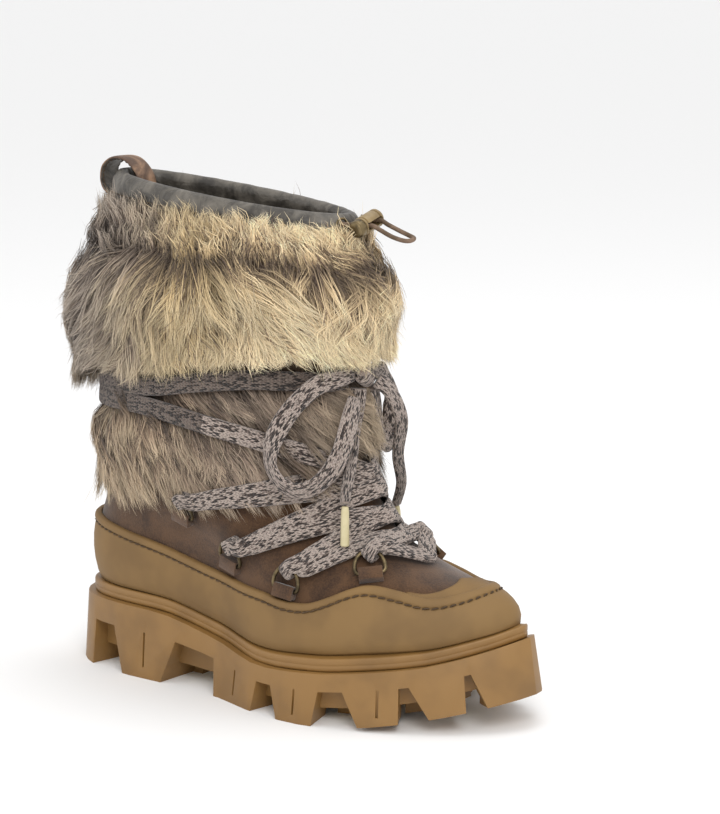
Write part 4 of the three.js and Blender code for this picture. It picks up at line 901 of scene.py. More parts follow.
# reach away from the knot, down, off the plane, twist in quarter turns, as shares of the drop
LOOP_ROUTE = np.array([
    (0.121, 0, 0.02, 0), (0.252, 0.014, 0.07, 0), (0.443, 0.06, 0.08, 0), (0.61, 0.189, 0.067, 0),
    (0.723, 0.303, 0.083, 0.1), (0.818, 0.435, 0.1, 0.3), (0.872, 0.564, 0.1, 0.6),
    (0.896, 0.691, 0.117, 0.8), (0.874, 0.795, 0.133, 0.8), (0.817, 0.883, 0.15, 0.7),
    (0.732, 0.947, 0.167, 0.5), (0.629, 0.967, 0.183, 0.3), (0.526, 0.935, 0.2, 0.2),
    (0.427, 0.862, 0.2, 0.1), (0.336, 0.753, 0.2, 0), (0.273, 0.624, 0.2, 0), (0.227, 0.477, 0.2, 0),
    (0.186, 0.324, 0.183, 0), (0.134, 0.185, 0.133, 0),
])
END_ROUTES = {
    "outer": np.array([
        (0.064, 0.125, 0.01, 0.4), (0.068, 0.281, 0, 0.5), (0.097, 0.452, 0.01, 0.6),
        (0.132, 0.613, 0.067, 0.6), (0.19, 0.812, 0.167, 0.5), (0.262, 0.99, 0.28, 0.4),
        (0.286, 1.068, 0.335, 0.4), (0.296, 1.401, 0.36, 0.4),
    ]),
    "inner": np.array([
        (0.075, 0.06, 0.09, 0.3), (0.145, 0.177, 0.19, 0.3), (0.276, 0.444, 0.25, 0.5),
        (0.443, 0.785, 0.17, 0.5), (0.72, 1.1, 0.12, 0.5), (0.87, 1.33, 0.03, 0.4),
        (0.95, 1.7, 0.02, 0.4),
    ]),
}
BOW_SIDES = {"outer": unit(np.array([-0.61, -0.79, 0.0])), "inner": unit(np.array([-0.3, 0.95, 0.0]))}
LOOP_OFF = {"outer": 1.0, "inner": 0.25}
LOOP_SIZE = {"outer": 1.0, "inner": 0.72}


def bow_way(side, route):
    """The points and facings of one of the bow's bands."""
    away = BOW_SIDES[side]
    front = np.array([abs(away[1]), away[0] if away[1] < 0 else -away[0], 0.0])
    reach, down, off, twist = route.T
    path = KNOT + away * reach[:, None] * BOW_DROP + front * off[:, None] * BOW_DROP
    path[:, 2] = KNOT[2] - down * BOW_DROP
    ahead = unit(np.gradient(path, axis=0))
    angle = twist[:, None] * np.pi / 2
    side_way = np.cross(ahead, front)
    facings = front * np.cos(angle) + side_way * np.sin(angle)
    facings += ahead * np.sum(ahead * front, axis=1, keepdims=True) * (1 - np.cos(angle))
    return path, facings


EYELET_TURNS = (0.463, 0.537)
COLLAR_FACE = 4.625


def eyelet_places():
    row = np.array(RIM - 0.08)
    return [(skin(row, np.array(t), COLLAR_FACE), upper_normal(row, np.array(t))) for t in EYELET_TURNS]


LOCK_AXIS = unit(np.array([-0.03, -0.96, -0.28]))
LOCK_MIDDLE = np.mean([p for p, _ in eyelet_places()], axis=0) + np.array([10.7829, -1.4816, -0.2462])
LOCK_LENGTH = 20.3
# ahead of the stopper's middle, across from the cord's middle, drop
CORD_ROUTE = [(-5.6, 1, 0), (0, 1, 0), (5.5, 1, 0), (10, 0.95, 1.9), (17, 1, 4.7), (23.5, 0.85, 6.6),
              (27.4, 0.45, 7.2)]


def cord_way():
    halves = []
    for sign, (place, out) in zip((1, -1), eyelet_places()):
        line = []
        for ahead, across, drop in CORD_ROUTE:
            point = LOCK_MIDDLE + LOCK_AXIS * (sign * across * 4 - 2.2)
            line.append(np.array([LOCK_MIDDLE[0] + ahead, point[1], point[2] - drop]))
        outside = place + out * 2.8
        elbow = mix(outside, line[0], 0.4) + np.array([0.6, 0, 0])
        halves.append([place - out * 1.2, outside, elbow, *line])
    return np.array(halves[0] + halves[1][::-1])


# Fur

def blended(stops, value):
    """A colour between stops, as linear values for each place."""
    places = [place for place, _ in stops]
    colours = np.array([linear(code)[:3] for _, code in stops])
    return np.stack([np.interp(value, places, colours[:, k]) for k in range(3)], axis=-1)


def fur_frame(rows, turns, offsets):
    """Points over the upper with the directions towards the toe, upwards and outwards there."""
    point = skin(rows, turns, offsets)
    sign = np.where(np.mod(turns, 1) < 0.5, 1.0, -1.0)
    along = on_upper(rows, turns + 0.004) - on_upper(rows, turns - 0.004)
    up = on_upper(rows + 0.06, turns) - on_upper(rows - 0.06, turns)
    per_turn = np.linalg.norm(along, axis=-1) / 0.008
    per_row = np.linalg.norm(up, axis=-1) / 0.12
    out = unit(np.cross(along, up))
    return point, unit(along) * sign[..., None], unit(up), out, sign / per_turn, 1 / per_row


def locks_of_hair(rows, turns, lengths, angle_of, offset_of, wave, stations=5):
    """Guides that run over the upper: their points and the frames there, station by station."""
    steps = []
    row, turn = rows.copy(), turns.copy()
    for k in range(stations):
        share = k / (stations - 1)
        point, ahead, up, out, turn_scale, row_scale = fur_frame(row, turn, offset_of(row, turn, share))
        angle = angle_of(row, turn, share)
        sway = np.sin(wave[0] + share * wave[1]) * wave[2]
        side = ahead * np.cos(angle)[:, None] + up * np.sin(angle)[:, None]
        steps.append((point + side * sway[:, None] * share, ahead, up, out))
        step = lengths / (stations - 1)
        turn = turn + np.sin(angle) * step * turn_scale
        row = np.clip(row - np.cos(angle) * step * row_scale, 1.2, RIM + 0.3)
    return steps


def hair_mesh(name, guides, per_guide, spread, width, tint_of, material, rng, clump=0.72, stray=0.06):
    """Ribbons of hair round guides, each coloured from root to tip."""
    count = len(guides[0][0])
    stations = len(guides)
    owner = np.repeat(np.arange(count), per_guide)
    total = len(owner)
    spot = rng.normal(0, 1, (total, 2)) * spread
    own = rng.random(total)
    wild = rng.random(total) < stray
    points = np.zeros((total, stations, 3))
    outs = np.zeros((total, stations, 3))
    jitter = rng.normal(0, 1, (total, 3))
    bunch = np.where(wild, 0.1, clump * (0.7 + 0.3 * rng.random(total)))
    shortened = 0.78 + 0.3 * rng.random(total)
    whole = np.stack([guide[0] for guide in guides])
    for k, (_, ahead, up, out) in enumerate(guides):
        share = k / (stations - 1)
        place = share * shortened
        lower = np.clip(place * (stations - 1), 0, stations - 1.001)
        at = lower.astype(int)
        part = (lower - at)[:, None]
        base = whole[at, owner] * (1 - part) + whole[at + 1, owner] * part
        free = 1 - bunch * share ** 1.3
        shift = ahead[owner] * (spot[:, :1] * free[:, None]) + up[owner] * (spot[:, 1:] * free[:, None])
        curl = np.sin(own * 40 + share * (4 + 4 * own))[:, None] * (0.9 + 0.5 * own)[:, None] * share
        loose = jitter * (0.8 + 2.4 * wild[:, None]) * share ** 1.5 + ahead[owner] * curl
        rise = out[owner] * ((own - 0.5) * 3.2 * (1 - 0.5 * share))[:, None]
        points[:, k] = base + shift + rise + loose
        outs[:, k] = out[owner]
    run = unit(np.gradient(points, axis=1))
    across = unit(np.cross(run, outs))
    roll = (rng.random(total) - 0.5)[:, None, None] * 1.4
    across = unit(across * np.cos(roll) + np.cross(run, across) * np.sin(roll))
    shares = np.linspace(0, 1, stations)
    taper = np.interp(shares, [0, 0.3, 0.75, 1], [0.7, 1, 0.75, 0.12])
    wide = width * (0.75 + 0.5 * own)[:, None] * taper[None]
    left = points - across * wide[..., None] / 2
    right = points + across * wide[..., None] / 2
    tip = points[:, -1:]
    edges = np.stack([left[:, :-1], right[:, :-1]], axis=2).reshape(total, -1, 3)
    verts = np.concatenate([edges, tip], axis=1)
    per = verts.shape[1]
    faces = []
    for k in range(stations - 2):
        a = 2 * k
        faces += [(a, a + 1, a + 3), (a, a + 3, a + 2)]
    faces.append((per - 3, per - 2, per - 1))
    faces = (np.arange(total)[:, None, None] * per + np.array(faces)[None]).reshape(-1, 3)
    tint = tint_of(owner, own, shares, total)
    tint = np.concatenate([np.repeat(tint[:, :-1], 2, axis=1), tint[:, -1:]], axis=1).reshape(-1, 3)
    tint = np.concatenate([tint, np.ones((len(tint), 1))], axis=1)
    return add_mesh(name, verts.reshape(-1, 3), faces, material, tints=tint)


# ROOT is the colour at the hairs' roots: their own darker base and painted shade deep in the pile. DARK is
# the colour of the odd dark hair.
ROOT, DARK = "#3f322a", "#5b4a3d"


def cuff_angle(row, turn, share):
    """Which way the cuff's hair runs, in radians from straight down towards the toe."""
    wrapped = np.mod(turn, 1)
    side = np.minimum(wrapped, 1 - wrapped)
    at = (row - cuff_foot(turn)) / (CUFF_TOP - cuff_foot(turn))
    sweep = np.interp(side, [0, 0.08, 0.17, 0.23, 0.3, 0.4, 0.5], [-0.1, -0.5, -0.72, -0.25, 0.5, 0.62, 0.1])
    swirl = 0.35 * np.sin(side * 34 + at * 5.0) + 0.2 * np.sin(side * 71 - at * 9.0 + 1.3)
    return sweep + swirl


def cuff_tints(turns, ats, rng):
    wrapped = np.mod(turns, 1)
    side = np.minimum(wrapped, 1 - wrapped)
    tone = rng.random(len(turns))

    def tint_of(owner, own, shares, total):
        mid = blended([(0, "#96836f"), (0.13, "#8f8174"), (0.2, "#a08f7c"), (0.26, "#b99f72"),
                       (0.33, "#b39c78"), (0.5, "#a5906f")], side[owner])
        tip = blended([(0, "#cbbda6"), (0.14, "#bcae9f"), (0.24, "#d8c6a0"), (0.36, "#dccdad"),
                       (0.5, "#d4c4a2")], side[owner])
        root = np.array(linear(ROOT)[:3])
        bright = (0.62 + 0.46 * tone[owner])[:, None] * (0.8 + 0.4 * own)[:, None]
        # Hair towards the front is made up to half again as bright: painted light on the lit front of the
        # cuff.
        front_painted_light = np.interp(side[owner], [0, 0.15, 0.28, 0.36, 0.5], [0.98, 1.0, 1.05, 1.5, 1.5])
        bright = bright * front_painted_light[:, None]
        kind = np.mod(own * 7.3 + tone[owner], 1)
        dark = np.array(linear(DARK)[:3])
        mid = np.where((kind < 0.12)[:, None], dark, mid)
        tip = np.where((kind < 0.07)[:, None], dark * 1.6, tip)
        # Hair high on the cuff gets a lighter middle than hair low down: painted light from above.
        high = np.clip((ats[owner] - 0.55) / 0.4, 0, 1)[:, None]
        mid = mid * (1 + 0.25 * high)
        out = np.zeros((total, len(shares), 3))
        for k, share in enumerate(shares):
            a = np.clip(share / 0.4, 0, 1)
            b = np.clip((share - 0.4) / 0.6, 0, 1)
            out[:, k] = (root * (1 - a) + mid * a) * (1 - b) + tip * b
            out[:, k] *= bright
        return np.clip(out, 0, 0.95)

    return tint_of


def cuff_hair(name, first, last, settings, rng):
    """One quarter of the cuff's hair, which leaves the pile and lies over it."""
    count = settings.cuff_locks // 4
    turns = first + (last - first) * rng.random(count)
    ats = rng.random(count) ** 0.85
    foot = cuff_foot(turns)
    rows = foot + (CUFF_TOP - 0.05 - foot) * (0.06 + 0.94 * ats)
    top = smooth(np.clip((ats - 0.7) / 0.16, 0, 1)) > rng.random(count)
    turned = np.where(top, np.pi + 0.45, 0.0)
    upright = 11 + 7 * rng.random(count)
    hanging = settings.cuff_length * 1000 * (0.72 + 0.5 * rng.random(count))
    lengths = np.where(top, upright, hanging)
    room = (rows - foot) * 38.0 + 2.5 + 5.0 * rng.random(count)
    lengths = np.where(top, lengths, np.minimum(lengths, np.maximum(room, 9.0)))
    base = 0.5 + 0.42 * rng.random(count)
    wander = rng.normal(0, 0.26, count)

    def angle_of(row, turn, share):
        flow = cuff_angle(row, turn, share) * (1 - 0.35 * share) + wander
        return np.where(top, turned + wander, flow)

    def offset_of(row, turn, share):
        foot_now = cuff_foot(turn)
        low = foot_now + (CUFF_TOP - foot_now) * 0.16
        pile = cuff_fur(np.clip(row, low, CUFF_TOP - 0.1), turn)
        standing = base * pile * (1 + 0.15 * share)
        lying = pile * (base + (0.16 + 0.5 * (1 - base)) * share)
        return np.where(top, standing, lying) + 1.0

    wave = (rng.random(count) * 6.3, 3.5 + 3.5 * rng.random(count), 1.2 + 2.6 * rng.random(count))
    guides = locks_of_hair(rows, turns, lengths, angle_of, offset_of, wave)
    tints = cuff_tints(turns, ats, rng)
    return hair_mesh(name, guides, settings.hairs_in_lock, 2.6, settings.hair_width * 1000, tints,
                     finishes["hair_long"], rng)


def ankle_hair(name, first, last, settings, rng):
    """Half of the ankle's hair: between the laces, under them and hanging below the lower one."""
    count = settings.ankle_locks // 2
    turns = first + (last - first) * rng.random(count)
    edge, high = line_at("edge", turns), line_at("high", turns)
    share_up = rng.random(count) ** 0.9
    rows = edge + 0.25 + (high + 0.1 - edge - 0.25) * share_up
    lengths = settings.ankle_length * 1000 * (0.7 + 0.5 * rng.random(count))
    base = 0.45 + 0.5 * rng.random(count)
    wander = rng.normal(0, 0.22, count)
    over = rng.random(count) < 0.05
    wrapped = np.mod(turns, 1)
    side = np.minimum(wrapped, 1 - wrapped)

    def angle_of(row, turn, share):
        flow = np.interp(side, [0, 0.06, 0.14, 0.2, 0.3, 0.4, 0.5], [0, 0.3, 0.5, 0.65, 0.75, 0.6, 0.2])
        below = np.clip((line_at("low", turn) - row) / 1.0, 0, 1)
        return flow * (1 - below * share * 1.5) + wander

    def offset_of(row, turn, share):
        pile = ankle_fur(np.maximum(row, line_at("edge", turn) + 0.6), turn)
        away = np.abs(row - line_at("low", turn))
        hill = np.clip(1 - (away - 0.25) / 0.5, 0, 1)
        lifted = pile * (base + (0.12 + 0.6 * (1 - base)) * share)
        front = np.clip(1 - np.abs(np.mod(turn, 1) - 0.5) / 0.085, 0, 1) * np.clip((row - 8.0) / 0.8, 0, 1)
        stand = front * (5 + 8 * base) * (0.35 + 0.65 * share)
        return np.where(over, np.maximum(lifted, hill * 10.6), lifted) + 0.6 + stand

    wave = (rng.random(count) * 6.3, 3.0 + 3.0 * rng.random(count), 0.6 + 1.5 * rng.random(count))
    guides = locks_of_hair(rows, turns, lengths, angle_of, offset_of, wave)
    tone = rng.random(count)

    def tint_of(owner, own, shares, total):
        mid = blended([(0, "#9c8670"), (0.2, "#967f69"), (0.3, "#857263"), (0.5, "#84725f")], side[owner])
        tip = blended([(0, "#d6c3a4"), (0.2, "#d2bea0"), (0.33, "#b6a38f"), (0.5, "#c2af94")], side[owner])
        # Dark roots: the hair's own darker base and painted shade deep in the pile.
        root = np.array(linear("#362b24")[:3])
        bright = (0.62 + 0.5 * tone[owner])[:, None] * (0.8 + 0.4 * own)[:, None]
        out = np.zeros((total, len(shares), 3))
        for k, share in enumerate(shares):
            a = np.clip(share / 0.45, 0, 1)
            b = np.clip((share - 0.45) / 0.55, 0, 1)
            out[:, k] = ((root * (1 - a) + mid * a) * (1 - b) + tip * b) * bright
        return np.clip(out, 0, 0.95)

    return hair_mesh(name, guides, settings.hairs_in_lock - 2, 2.2, settings.hair_width * 1000, tint_of,
                     finishes["hair_long"], rng)


def fur_base(name, lines, depth_of, material):
    """The dense short wool that the long hair stands in; its dark brown is its own colour and painted shade
    deep in the pile.
    """
    columns = 144
    turns = np.arange(columns) / columns
    outside = [skin(line(turns), turns, depth_of(line(turns), turns)) for line in lines]
    inside = [skin(line(turns), turns, np.full(columns, 0.96)) for line in lines]
    return loft(name, [*outside, *inside[::-1]], material, looped=True)


# Settings

class BootSizes(bpy.types.PropertyGroup):
    """Sizes and colours of the boot's dressing that a user would change."""

    cuff_locks: IntProperty(name="Cuff locks", description="Tufts of hair on the cuff", default=2640, min=40)
    ankle_locks: IntProperty(name="Ankle locks", description="Tufts of hair on the ankle",
                             default=1280, min=40)
    hairs_in_lock: IntProperty(name="Hairs in a lock", description="Hairs of one tuft", default=30, min=4)
    hair_width: FloatProperty(name="Hair width", description="Width of a hair, drawn coarser than real",
                              default=0.00032, unit="LENGTH")
    cuff_length: FloatProperty(name="Cuff hair", description="Length of the cuff's hair", default=0.034,
                               unit="LENGTH")
    ankle_length: FloatProperty(name="Ankle hair", description="Length of the ankle's hair", default=0.027,
                                unit="LENGTH")
    lug_edge: FloatProperty(name="Lug edge", description="Rounding of the sole's moulded edges",
                            default=0.0008, unit="LENGTH")
    stitch_pitch: FloatProperty(name="Stitch pitch", description="Spacing of the rand's whip stitches",
                                default=0.0047, unit="LENGTH")
    floor_colour: FloatVectorProperty(name="Floor", description="Colour of the studio floor", size=3,
                                      subtype="COLOR", default=(0.9, 0.9, 0.9))


class BootStep(bpy.types.Operator):
    """Common ground of the boot's operators."""

    bl_options = {"REGISTER", "UNDO"}

    def execute(self, context):
        deselect()
        self.make(context.scene.snow_boot)
        deselect()
        return {"FINISHED"}


def kept(piece, *nodes, slot=None):
    """Seats a finished piece on the boot's body, in place of the solids it stands for."""
    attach(piece, body)
    if nodes:
        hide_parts(*nodes)
    return piece


# The lens is as long as the photo's focal length of 2400 of its pixels, of which it is 814 high.
SENSOR = 36.0
FOCAL_PIXELS = 2400.0
PHOTO_PIXELS = 814.0
AIM = np.array([165.5, 24.2, 152.9])
EYE = np.array([897.2, -1020.9, 379.9])


class SNOWBOOT_OT_camera(BootStep):
    """Sets the camera at the photograph's angle."""

    bl_idname = "snowboot.camera"
    bl_label = "Camera"

    def make(self, sizes):
        data = bpy.data.cameras.new("camera")
        data.sensor_width = SENSOR
        data.lens = SENSOR * FOCAL_PIXELS / PHOTO_PIXELS
        data.clip_end = 400.0
        camera = bpy.data.objects.new("camera", data)
        bpy.context.collection.objects.link(camera)
        eye, aim = to_row(EYE), to_row(AIM)
        camera.location = eye
        camera.rotation_euler = Vector(aim - eye).to_track_quat("-Z", "Y").to_euler()
        bpy.context.scene.camera = camera


class SNOWBOOT_OT_draw_cord(BootStep):
    """Lays the draw cord from the eyelets through the stopper into its loop."""

    bl_idname = "snowboot.draw_cord"
    bl_label = "Draw cord"

    def make(self, sizes):
        piece, line, length = tube("draw_cord_round", cord_way(), 2.4, finishes["cord_waxed"], 0.9, 12)
        kept(piece, "draw_cord", slot="cord")
        path = to_row(spline(line, np.linspace(0, len(line) - 1, 36)))


def declare_band(line):
    path = to_row(spline(line, np.linspace(0, len(line) - 1, 34)))


class SNOWBOOT_OT_bow(BootStep):
    """Ties the bow: two loops, two ends with their aglets, and the knot."""

    bl_idname = "snowboot.bow"
    bl_label = "Bow"

    def make(self, sizes):
        wool = finishes["lace_wool_knitted"]
        for side in ("outer", "inner"):
            down = LOOP_ROUTE[:, 1]
            route = LOOP_ROUTE.copy()
            route[:, 0] *= mix(1, LOOP_SIZE[side], down)
            route[:, 1] *= LOOP_SIZE[side]
            route[:, 2] *= LOOP_OFF[side]
            path, facings = bow_way(side, route)
            stops = [0, 1.5, len(path) - 2.5, len(path) - 1]
            wide = np.interp(np.arange(len(path)), stops, [0.7, 1, 1, 0.7])
            piece, line, length = strip(f"bow_loop_{side}", path, facings, LACE_WIDTH, LACE_THICKNESS, wool,
                                        1.2, 16, wide)
            kept(piece, f"lace_loop_{side}", slot="lace")
            declare_band(line)
            path, facings = bow_way(side, END_ROUTES[side])
            path, facings = path[:-1], facings[:-1]
            share = np.linspace(0, 1, len(path))
            piece, line, length = strip(f"bow_end_{side}", path, facings, LACE_WIDTH, LACE_THICKNESS, wool,
                                        1.2, 16, mix(0.85, 0.48, share))
            kept(piece, f"lace_end_{side}", slot="lace")
            aglet = self.aglet(side)
            declare_band(line)
        self.knot(wool)

    def aglet(self, side):
        path, _ = bow_way(side, END_ROUTES[side])
        way = unit(path[-1] - path[-2])
        bpy.ops.mesh.primitive_cylinder_add(vertices=32, radius=0.00235, depth=0.021,
                                            location=(0, 0, 0.0105))
        piece = bpy.context.object
        piece.name = f"aglet_{side}_sleeve"
        bevel = piece.modifiers.new("rounded", "BEVEL")
        bevel.width, bevel.segments, bevel.limit_method = 0.0009, 4, "ANGLE"
        apply_all(piece)
        bpy.ops.object.mode_set(mode="EDIT")
        bpy.ops.mesh.select_all(action="SELECT")
        bpy.ops.mesh.bisect(plane_co=(0, 0, 0.0035), plane_no=(0, 0, 1))
        bpy.ops.object.mode_set(mode="OBJECT")
        for vertex in piece.data.vertices:
            flat = 1 - 0.28 * smooth(np.clip(1 - vertex.co.z / 0.006, 0, 1))
            vertex.co.x *= flat
        bpy.ops.object.shade_smooth_by_angle(angle=math.radians(40))
        piece.data.materials.append(finishes["aglet_nylon"])
        placed(piece, way, path[-2] + way * 1.5)
        return kept(piece, f"aglet_{side}", slot="aglet")

    def knot(self, wool):
        across = unit(np.array([0.3, -0.9, 0.35]))
        up = unit(np.array([0, 0.36, 0.93]))
        out = np.cross(across, up)
        angle = np.linspace(0.25, 2 * np.pi + 0.25, 13)
        turns = []
        for shift, lean, grow in ((-2.3, 0.8, 0.94), (2.3, -0.7, 0.94)):
            path = [KNOT + across * (shift + lean * math.sin(a)) + up * math.cos(a) * 5.1 * grow
                    + out * math.sin(a) * 3.5 * grow for a in angle]
            facings = [up * math.cos(a) * 0.8 + out * math.sin(a) for a in angle]
            piece, _, _ = strip("wrap", path, facings, 6.6, 3.2, wool, 1.1, 16)
            turns.append(piece)
        line = [KNOT + across * reach for reach in (-6, -2, 2, 6)]
        core, _, _ = strip("core", line, [out] * 4, 7.5, 5.4, wool, 1.2, 16, [0.6, 1, 1, 0.6])
        kept(joined("bow_knot", [*turns, core]), "lace_knot", slot="lace")


class SNOWBOOT_OT_sole(BootStep):
    """Moulds the lugged outsole and the welt on it."""

    bl_idname = "snowboot.sole"
    bl_label = "Sole"

    def make(self, sizes):
        rubber = finishes["caramel_rubber_moulded"]
        piece = copy_of("outsole", "outsole_moulded", rubber)
        worked(piece)
        flat = piece.modifiers.new("flat", "DECIMATE")
        flat.decimate_type, flat.angle_limit = "DISSOLVE", math.radians(1.2)
        bevel = piece.modifiers.new("edges", "BEVEL")
        bevel.width, bevel.segments, bevel.angle_limit = sizes.lug_edge, 3, math.radians(24)
        bevel.limit_method = "ANGLE"
        apply_all(piece)
        bpy.ops.object.shade_smooth_by_angle(angle=math.radians(28))
        piece.data.materials.append(finishes["tread_core_rubber"])
        for face in piece.data.polygons:
            along = (face.center.x * 1000 - SHIFT[0]) / SOLE
            low = face.center.z * 1000 - 18 * max((along - 0.67) / 0.33, 0) ** 1.6
            inset = 0 < along < 1 and abs(face.normal.z) > 0.9 and face.normal.z < 0 and 5 < low < 15
            if inset:
                face.material_index = 1
        kept(piece, "outsole", slot="sole_rubber")
        columns = 224
        turns = np.arange(columns) / columns

        def ring(inset, height_at):
            foot = outline_at(turns)
            flare = 4.5 * mix(0.55, 1, np.clip(foot[:, 0] / SOLE, 0, 1))
            edge = outline_at(turns, inset + flare)
            return np.column_stack([edge, height_at(edge[:, 0])])

        profile = [(4.9, 0.0), (3.9, 0.1), (3.6, 0.9), (3.6, 2.6), (3.75, 2.9), (3.75, 3.3), (3.6, 3.6),
                   (3.6, 5.8), (3.9, 6.7), (5.0, 7.0)]
        rings = [ring(inset, lambda x, h=height: edge_at(x) + GAP + h) for inset, height in profile]
        kept(loft("welt_step", rings, rubber), "welt", slot="sole_rubber")


class SNOWBOOT_OT_upper(BootStep):
    """Lasts the suede upper with its leather lining, and lays the footbed."""

    bl_idname = "snowboot.upper"
    bl_label = "Upper"

    def make(self, sizes):
        columns = 144
        turns = np.arange(columns) / columns
        rows = np.linspace(0, RIM, RIM * 4 + 1)
        outside = [skin(np.full(columns, row), turns, 0.0) for row in rows]
        inside = [skin(np.full(columns, row), turns, -2.0) for row in rows[::-1]]
        piece = loft("upper_lasted", [*outside, *inside], finishes["vamp_suede"], looped=True)
        piece.data.materials.append(finishes["lining_leather"])
        band = len(rows) * columns
        index = np.zeros(len(piece.data.polygons), dtype=np.int32)
        for face in piece.data.polygons:
            index[face.index] = 1 if min(face.vertices) >= band - columns else 0
        piece.data.polygons.foreach_set("material_index", index)
        kept(piece, "upper", slot="suede")

        def ring(extra, lift):
            points = skin(np.full(columns, 0.05), turns, -2.5 - extra)
            points[:, 2] = welt_top(points[:, 0]) + lift
            return points

        rings = [ring(0, 0.8), ring(0, 3.0), ring(0.5, 4.1), ring(1.6, 4.8)]
        kept(loft("footbed_felt_covered", rings, finishes["footbed_felt"]), "insole", slot="footbed")


def small_stitch(start, end, out, width):
    """One thread's stitch: a short round bar that bows out between its two holes."""
    middle = (start + end) / 2 + out * width * 0.5
    path = [start - out * width * 0.3, start * 0.75 + end * 0.25 + out * width * 0.35, middle,
            start * 0.25 + end * 0.75 + out * width * 0.35, end - out * width * 0.3]
    return ring_stack(np.array(path), out, width)


def ring_stack(path, out, width, corners=6):
    ahead = unit(np.gradient(path, axis=0))
    side = unit(np.cross(ahead, out))
    up = np.cross(side, ahead)
    angle = np.linspace(0, 2 * np.pi, corners, endpoint=False)
    return path[:, None] + (side[:, None] * np.cos(angle)[None, :, None]
                            + up[:, None] * np.sin(angle)[None, :, None]) * width / 2


def stitches(name, stacks, material):
    """Many short threads as one piece."""
    rows, corners = stacks[0].shape[:2]
    points = np.concatenate([stack.reshape(-1, 3) for stack in stacks])
    faces = np.concatenate([grid_faces(rows, corners, start=k * rows * corners) for k in range(len(stacks))])
    return tidy_normals(add_mesh(name, points, faces, material))


class SNOWBOOT_OT_rand(BootStep):
    """Wraps the rand and its raised lip round the foot, and sets the toe cap."""

    bl_idname = "snowboot.rand"
    bl_label = "Rand"

    def make(self, sizes):
        rubber = finishes["rand_rubber_matte"]
        columns = 288
        turns = np.arange(columns) / columns
        outer = 2.9

        def ring(drop, offset, share=None):
            rows = row_at_lift(turns, lambda x: lip_lift(x) - drop)
            if share is not None:
                rows = rows * share
            return skin(rows, turns, offset)

        section = [(6.4, 0.45, 0.0), *((6.4, outer, share) for share in (0.0, 0.2, 0.4, 0.6, 0.8, 0.95)),
                   (5.9, outer, None), (5.3, outer - 0.05, None),
                   (4.9, outer - 0.5, None), (4.6, outer - 0.55, None), (4.3, outer - 0.1, None),
                   (3.9, outer + 0.55, None), (3.2, outer + 0.9, None), (2.2, outer + 1.0, None),
                   (1.2, outer + 0.85, None), (0.5, outer + 0.35, None), (0.1, outer - 0.5, None),
                   (0.0, 1.2, None), (0.0, 0.45, None)]
        rings = [ring(drop, offset, share) for drop, offset, share in section]
        kept(loft("rand_wrapped", rings, rubber, looped=True), "rand", slot="rand_rubber")

        mid = ring(4.75, outer - 0.2)
        mid = np.concatenate([mid, mid[:1]])
        length = np.concatenate([[0], np.cumsum(np.linalg.norm(np.diff(mid, axis=0), axis=1))])
        count = int(length[-1] / (sizes.stitch_pitch * 1000))
        places = (np.arange(count) + 0.5) / count * length[-1]
        at = np.interp(places, length, np.arange(columns + 1) / columns)
        stacks = []
        for turn in at:
            t = np.array([turn - 0.0029, turn + 0.0029])
            rows = row_at_lift(t, lambda x: lip_lift(x) - np.array([5.0, 4.45]))
            points = skin(rows, t, outer - 0.05)
            out = upper_normal(rows[:1], t[:1])[0]
            stacks.append(small_stitch(points[0], points[1], out, 0.85))
        thread = stitches("rand_whip_stitches", stacks, finishes["thread_waxed"])
        kept(thread, slot="rand_rubber")
        self.cap(rubber)

    def cap(self, rubber):
        span, across, along = 0.082, 64, 16
        u = np.linspace(0, 1, across + 1)
        turns = 0.5 + (2 * u - 1) * span
        foot = row_at_lift(turns, lambda x: rand_lift(x) - 2.0)
        lip = row_at_lift(turns, rand_lift)
        lip_middle = float(row_at_lift(np.array([0.5]), rand_lift)[0])
        reach = 1 - np.abs(turns - 0.5) / span
        top = lip + 0.12 + (4.7 - 0.12 - lip_middle) * reach
        front, back = [], []
        for k in range(along + 1):
            v = k / along
            row = mix(foot, top, v)
            near = (top - row) * 14.0
            edge = smooth(np.clip(near / 1.4, 0, 1))
            front.append(skin(row, turns, 0.5 + 1.5 * edge))
            back.append(skin(row, turns, 0.42))
        rings = [np.concatenate([f, b[::-1]]) for f, b in zip(front, back)]
        piece = loft("toe_cap_rubber", rings, rubber)
        kept(piece, "toe_cap", slot="rand_rubber")


